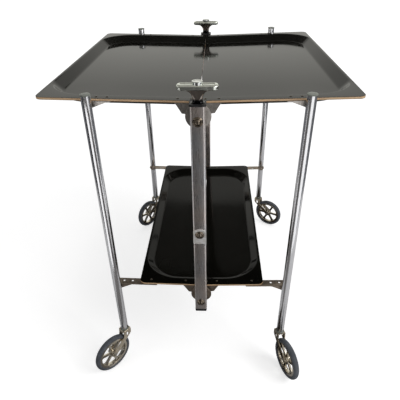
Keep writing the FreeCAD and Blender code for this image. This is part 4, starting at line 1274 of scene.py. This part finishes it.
def tyre_piece(corner):
    """A solid tyre with ribs across its tread: the outline's radius falls between ribs
    by the rib depth, fully on the tread and not at all at the seat. Round the tyre the
    fall follows a smoothed cosine, cut off so that ribs and grooves are level."""
    shape = settings().castor
    castor = CastorFrame(corner)
    seat = castor.radius - shape.tyre_thickness
    half = shape.tyre_half
    flank, shoulder = seat + shape.tyre_flank, seat + shape.tyre_shoulder
    rise = castor.radius - shoulder
    ball = (half * half + rise * rise) / (2.0 * rise)
    reach = math.asin(half / ball)
    tread = on_circle(ball, np.linspace(-reach, reach, 19), castor.radius - ball)
    steps = 3
    foot = eased([(seat, shape.rim_half), (flank, half), (shoulder, half), (seat, 0.0)],
                 [shape.tyre_foot_ease, shape.tyre_flank_ease, 0.0, 0.0], steps)
    upward = foot[:2 * (steps + 1)]
    profile = np.concatenate([tread, upward[::-1], upward * (1.0, -1.0)])
    depth = np.clip((profile[:, 0] - flank) / (shoulder - flank), 0.0, 1.0)
    count = shape.ribs * 8
    angle = np.arange(count) * 2.0 * math.pi / count
    steepness, widening = 1.3, 0.15        # of the grooves' sides, and of the ribs
    groove = 0.5 - steepness * (np.cos(angle * shape.ribs) + widening)
    groove = np.clip(groove, 0.0, 1.0)
    groove = groove * groove * (3.0 - 2.0 * groove)
    radius = profile[:, 0, None] - shape.rib_depth * depth[:, None] * groove
    across = np.broadcast_to(profile[:, 1, None], radius.shape)
    grid = castor.place(on_circle(radius, angle), across)
    shell = Shell().add(grid, closed_across=True, closed_along=True)
    shell.piece(f"{corner}_ribbed_tyre", f"{corner}_tyre", "tyre", math.radians(50.0))


# ---- stage ----
def stage_sheet(name, low, high, material):
    """A flat rectangle between two corners, which agree in one of the directions."""
    low, high = np.array(low, float), np.array(high, float)
    flat = int(np.argmin(high - low))
    first, second = (axis for axis in range(3) if axis != flat)
    grid = np.broadcast_to(low, (2, 2, 3)).copy()
    grid[:, 1, first] = high[first]
    grid[1, :, second] = high[second]
    mesh = bpy.data.meshes.new(name)
    mesh.from_pydata(grid.reshape(-1, 3), [], [(0, 1, 3, 2)])
    mesh.materials.append(material)
    sheet = stood(name, mesh)
    sheet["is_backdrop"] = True
    return sheet


def floor():
    """A wide pale floor at height 0. Seen by the camera it is lifted towards white, more
    so far from the table, and it keeps the table's shadow."""
    stage = settings().stage
    material = empty_material("floor")
    tree = material.node_tree
    place = add_node(tree, "TexCoord").outputs["Object"]
    reach = add_node(tree, "VectorMath", {0: place}, operation="LENGTH").outputs["Value"]
    lift = add_node(tree, "MapRange", {
        "Value": reach, "From Min": stage.lift_start, "From Max": stage.lift_end,
        "To Min": stage.floor_lift, "To Max": stage.far_lift}).outputs["Result"]
    seen = add_node(tree, "LightPath").outputs["Is Camera Ray"]
    level = add_node(tree, "Math", {0: seen, 1: lift}, operation="MULTIPLY").outputs[0]
    glow = add_node(tree, "Emission", {"Strength": level}).outputs[0]
    diffuse = add_node(tree, "BsdfDiffuse", {"Color": opaque(stage.floor_colour)}).outputs[0]
    both = add_node(tree, "AddShader", {0: diffuse, 1: glow}).outputs[0]
    add_node(tree, "OutputMaterial", {"Surface": both})
    side = stage.floor_reach
    stage_sheet("floor", (-side, -side, 0.0), (side, side, 0.0), material)


def card(name, low, high, colour, glow=0.0):
    """A flat card which only reflections see: it gives bright metal something darker or
    brighter to show."""
    material = empty_material(name)
    shader = add_node(material.node_tree, "BsdfPrincipled", {
        "Base Color": opaque(colour), "Roughness": 1.0, "Specular IOR Level": 0.0,
        "Emission Color": opaque(colour), "Emission Strength": glow})
    add_node(material.node_tree, "OutputMaterial", {"Surface": shader.outputs["BSDF"]})
    flag = stage_sheet(name, low, high, material)
    flag.visible_camera = flag.visible_diffuse = flag.visible_shadow = False
    flag.visible_transmission = flag.visible_volume_scatter = False


def world():
    """White where it is seen, toned where it is reflected, and a plain soft light all
    round for everything else."""
    stage = settings().stage
    made = bpy.data.worlds.new("white_studio")
    bpy.context.scene.world = made
    made.use_nodes = True
    tree = made.node_tree
    tree.nodes.clear()
    white = (1.0, 1.0, 1.0, 1.0)
    path = add_node(tree, "LightPath").outputs
    colours = {"Factor": path["Is Glossy Ray"], MIX_FIRST: white,
               MIX_SECOND: opaque(stage.reflected)}
    toned = add_node(tree, "Mix", colours, data_type="RGBA").outputs[MIX_RESULT]
    shown = add_node(tree, "Background", {"Color": toned}).outputs[0]
    light = add_node(tree, "Background", {"Color": white, "Strength": stage.world_light})
    seen = path["Is Camera Ray"]
    for ray in ("Is Glossy Ray", "Is Transmission Ray"):
        seen = add_node(tree, "Math", {0: seen, 1: path[ray]}, operation="MAXIMUM").outputs[0]
    choice = add_node(tree, "MixShader", {0: seen, 1: light.outputs[0], 2: shown})
    add_node(tree, "OutputWorld", {"Surface": choice.outputs[0]})


def reflector_cards():
    """Cards that only reflections see. From the left, a broken wall in front goes from
    dark through grey and white to blue-grey, two narrow cards stand nearer for the legs,
    a wall stands at each side, small ones lie beside the castors and one is above."""
    stage = settings().stage
    near, top = -stage.card_reach, stage.card_top
    left, right, back = -1.2, 1.1, 1.2                   # the walls at the sides
    dark_end, grey_end, white_end = -0.3, 0.1, 0.55      # where the cards in front meet
    nearer, foot, head = -0.42, 0.1, 0.62                # the two for the legs
    lying, lowest = 0.004, 0.003                         # heights of the ones on the floor
    card("card_dark", (left, near, 0.0), (dark_end, near, top), stage.card_dark)
    card("card_leg_white", (-0.29, nearer, foot), (-0.155, nearer, head), stage.card_white, 0.9)
    card("card_leg_grey", (-0.155, nearer, foot), (0.03, nearer, head), stage.card_grey)
    card("card_left", (left, near, 0.0), (left, back, top), stage.card_side)
    card("card_grey", (dark_end, near, 0.0), (grey_end, near, top), stage.card_grey)
    card("card_white", (grey_end, near, 0.0), (white_end, near, top), stage.card_white, 0.7)
    card("card_floor", (dark_end, near, lowest), (0.13, -0.3, lowest), stage.card_grey)
    card("card_right", (white_end, near, 0.0), (right, near, top), stage.card_side)
    card("card_front_right", (0.08, -0.3, lying), (0.22, -0.2, lying), stage.card_brown)
    card("card_rear_left", (-0.22, 0.24, lying), (-0.04, 0.34, lying), stage.card_brown)
    card("card_rear_right", (0.07, 0.19, lying), (0.25, 0.33, lying), stage.card_brown)
    card("card_right_side", (right, near, 0.0), (right, back, top), stage.card_side)
    card("card_above", (-2.6, -2.6, 1.9), (2.6, 2.7, 1.9), stage.card_top_colour)


def soft_lamp(name, place, target, power, side):
    """A square lamp that faces its target."""
    lamp = bpy.data.lights.new(name, "AREA")
    lamp.shape = "RECTANGLE"
    lamp.size = lamp.size_y = side
    lamp.energy = power
    thing = stood(name, lamp)
    thing.location = place
    thing.rotation_euler = (Vector(target) - Vector(place)).to_track_quat("-Z", "Y").to_euler()


def camera():
    """The camera at the photographed angle: forward from its pitch and yaw, then
    turned by its roll about that line."""
    stage = settings().stage
    forward = Vector((math.sin(stage.yaw) * math.cos(stage.pitch),
                      math.cos(stage.yaw) * math.cos(stage.pitch), -math.sin(stage.pitch)))
    right = Vector((math.cos(stage.yaw), -math.sin(stage.yaw), 0.0))
    above = right.cross(forward)
    right_rolled = math.cos(stage.roll) * right + math.sin(stage.roll) * above
    above_rolled = math.cos(stage.roll) * above - math.sin(stage.roll) * right
    data = bpy.data.cameras.new("camera")
    data.sensor_width = SENSOR_WIDTH
    data.lens = stage.lens
    data.clip_start = 0.01
    thing = stood("camera", data)
    turned_to = Matrix((right_rolled, above_rolled, -forward)).transposed()
    thing.matrix_world = Matrix.Translation(stage.eye) @ turned_to.to_4x4()
    bpy.context.scene.camera = thing


# ---- operators ----
class TABLE_OT_finishes(bpy.types.Operator):
    """Make the table's materials"""
    bl_idname = "service_table.finishes"
    bl_label = "Finishes"

    def execute(self, context):
        colours = settings().colours
        laminate_finish(colours)
        plywood_finish(colours)
        hinge_finish(colours)
        satin_metal("rivet_steel", colours.rivet, 0.3, (1.0, 1.0, 1.0), blotch=400.0)
        column_finish(colours)
        plastic_finish("black_plastic", colours.black, 0.45, 0.00002)
        neck_finish(colours)
        polished_finish("handle_chrome", colours.bar, 0.16, 90.0)
        polished_finish("handle_boss", colours.boss, 0.1, 150.0)
        plate = satin_metal("plate_metal", colours.plate, 0.32, (0.06, 1.0, 1.0), blotch=90.0)
        plate.set("Metallic", 0.35)
        satin_metal("screw_steel", colours.screw, 0.2, (1.0, 1.0, 1.0), blotch=300.0)
        polished_finish("leg_chrome", colours.leg, 0.19, 14.0, 1.1)
        plastic_finish("leg_plug_plastic", colours.cap, 0.4, 0.00002)
        satin_metal("pin_steel", colours.pin, 0.3, (1.0, 1.0, 1.0), blotch=250.0)
        satin_metal("castor_nickel", colours.nickel, 0.24, (1.0, 1.0, 0.3), blotch=120.0)
        satin_metal("wheel_metal", colours.wheel, 0.17, (1.0, 1.0, 0.5), blotch=110.0)
        tyre_finish(colours)
        return {"FINISHED"}


class TABLE_OT_trays(bpy.types.Operator):
    """Make the four tray halves, plywood between laminate skins"""
    bl_idname = "service_table.trays"
    bl_label = "Trays"

    def execute(self, context):
        for level in LEVELS:
            for side in SIDES:
                tray_pieces(level, side)
        return {"FINISHED"}


class TABLE_OT_rivets(bpy.types.Operator):
    """Make the rivets in the tray rims"""
    bl_idname = "service_table.rivets"
    bl_label = "Rivets"

    def execute(self, context):
        for level in LEVELS:
            for side in SIDES:
                rivet_pieces(level, side)
        return {"FINISHED"}


class TABLE_OT_flat_steel(bpy.types.Operator):
    """Make the hinge leaves, leg brackets, leg straps, nuts and column plates"""
    bl_idname = "service_table.flat_steel"
    bl_label = "Flat steel"

    def execute(self, context):
        ease = settings().plate.ease
        for level, arm in (("upper", "leg_brackets"), ("lower", "leg_straps")):
            for side in SIDES:
                name = f"{level}_{side}"
                eased_copy(f"{name}_gussets", f"{name}_hinge_leaves", "hinge_steel", ease)
                eased_copy(f"{name}_{arm}", f"{name}_{arm}_eased", "hinge_steel", ease)
        eased_copy("column_plates", "peaked_column_plates", "plate_metal", ease)
        eased_copy("hinge_nuts", "hinge_bolt_nuts", "screw_steel", ease)
        return {"FINISHED"}


class TABLE_OT_columns(bpy.types.Operator):
    """Make the two square columns with their caps and collars"""
    bl_idname = "service_table.columns"
    bl_label = "Columns"

    def execute(self, context):
        for end in ENDS:
            column_tube(end)
        column_ends()
        return {"FINISHED"}


class TABLE_OT_handles(bpy.types.Operator):
    """Make the handle necks, bars and bosses"""
    bl_idname = "service_table.handles"
    bl_label = "Handles"

    def execute(self, context):
        handle_necks()
        for end in ENDS:
            handle_bar(end)
        return {"FINISHED"}


class TABLE_OT_fasteners(bpy.types.Operator):
    """Make the hinge bolts, cup washers and discs"""
    bl_idname = "service_table.fasteners"
    bl_label = "Hinge fasteners"

    def execute(self, context):
        hinge_fasteners()
        return {"FINISHED"}


class TABLE_OT_legs(bpy.types.Operator):
    """Make the leg tubes, their caps, bushes, pins and spacers"""
    bl_idname = "service_table.legs"
    bl_label = "Legs"

    def execute(self, context):
        for corner in CORNERS:
            leg_tube(corner)
            leg_plugs(corner)
            leg_pins(corner)
        return {"FINISHED"}


class TABLE_OT_forks(bpy.types.Operator):
    """Make the castor forks, stems and axles"""
    bl_idname = "service_table.forks"
    bl_label = "Castor forks"

    def execute(self, context):
        for corner in CORNERS:
            eased_copy(f"{corner}_fork", f"{corner}_castor_fork", "castor_nickel",
                       settings().plate.cast_ease)
            castor_pins(corner)
        return {"FINISHED"}


class TABLE_OT_wheels(bpy.types.Operator):
    """Make the spoked wheels and their ribbed tyres"""
    bl_idname = "service_table.wheels"
    bl_label = "Wheels"

    def execute(self, context):
        for corner in CORNERS:
            wheel_piece(corner)
            tyre_piece(corner)
        return {"FINISHED"}


class TABLE_OT_stage(bpy.types.Operator):
    """Make the floor, the light and the camera"""
    bl_idname = "service_table.stage"
    bl_label = "Stage"

    def execute(self, context):
        stage = settings().stage
        low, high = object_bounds()
        middle = (low + high) / 2.0
        floor()
        world()
        reflector_cards()
        soft_lamp("key", (1.5, -0.7, 1.5), middle, stage.key_power, side=1.2)
        soft_lamp("fill", (-1.6, -1.2, 1.0), middle, stage.fill_power, side=1.0)
        soft_lamp("top", (0.0, 0.4, 2.2), middle, stage.top_power, side=1.6)
        camera()
        context.scene.view_settings.view_transform = "Standard"
        return {"FINISHED"}


OPERATORS = (TABLE_OT_finishes, TABLE_OT_trays, TABLE_OT_rivets, TABLE_OT_flat_steel,
             TABLE_OT_columns, TABLE_OT_handles, TABLE_OT_fasteners, TABLE_OT_legs,
             TABLE_OT_forks, TABLE_OT_wheels, TABLE_OT_stage)


class TABLE_PT_panel(bpy.types.Panel):
    """Lists the steps that build the table"""
    bl_label = "Service Table"
    bl_space_type = "VIEW_3D"
    bl_region_type = "UI"
    bl_category = "Service Table"

    def draw(self, context):
        for operator in OPERATORS:
            self.layout.operator(operator.bl_idname)


CLASSES = (TrayShape, PlateShape, ColumnShape, FastenerShape, LegShape, CastorShape,
           TableColours, StageSetting, ServiceTable) + OPERATORS + (TABLE_PT_panel,)


def register():
    for cls in CLASSES:
        bpy.utils.register_class(cls)
    bpy.types.Scene.service_table = PointerProperty(type=ServiceTable)


def unregister():
    del bpy.types.Scene.service_table
    for cls in reversed(CLASSES):
        bpy.utils.unregister_class(cls)


def run(operator):
    """Calls one operator by its name."""
    group, name = operator.bl_idname.split(".")
    getattr(getattr(bpy.ops, group), name)()


def main():
    register()
    for operator in OPERATORS:
        run(operator)


if __name__ == "__main__":
    main()
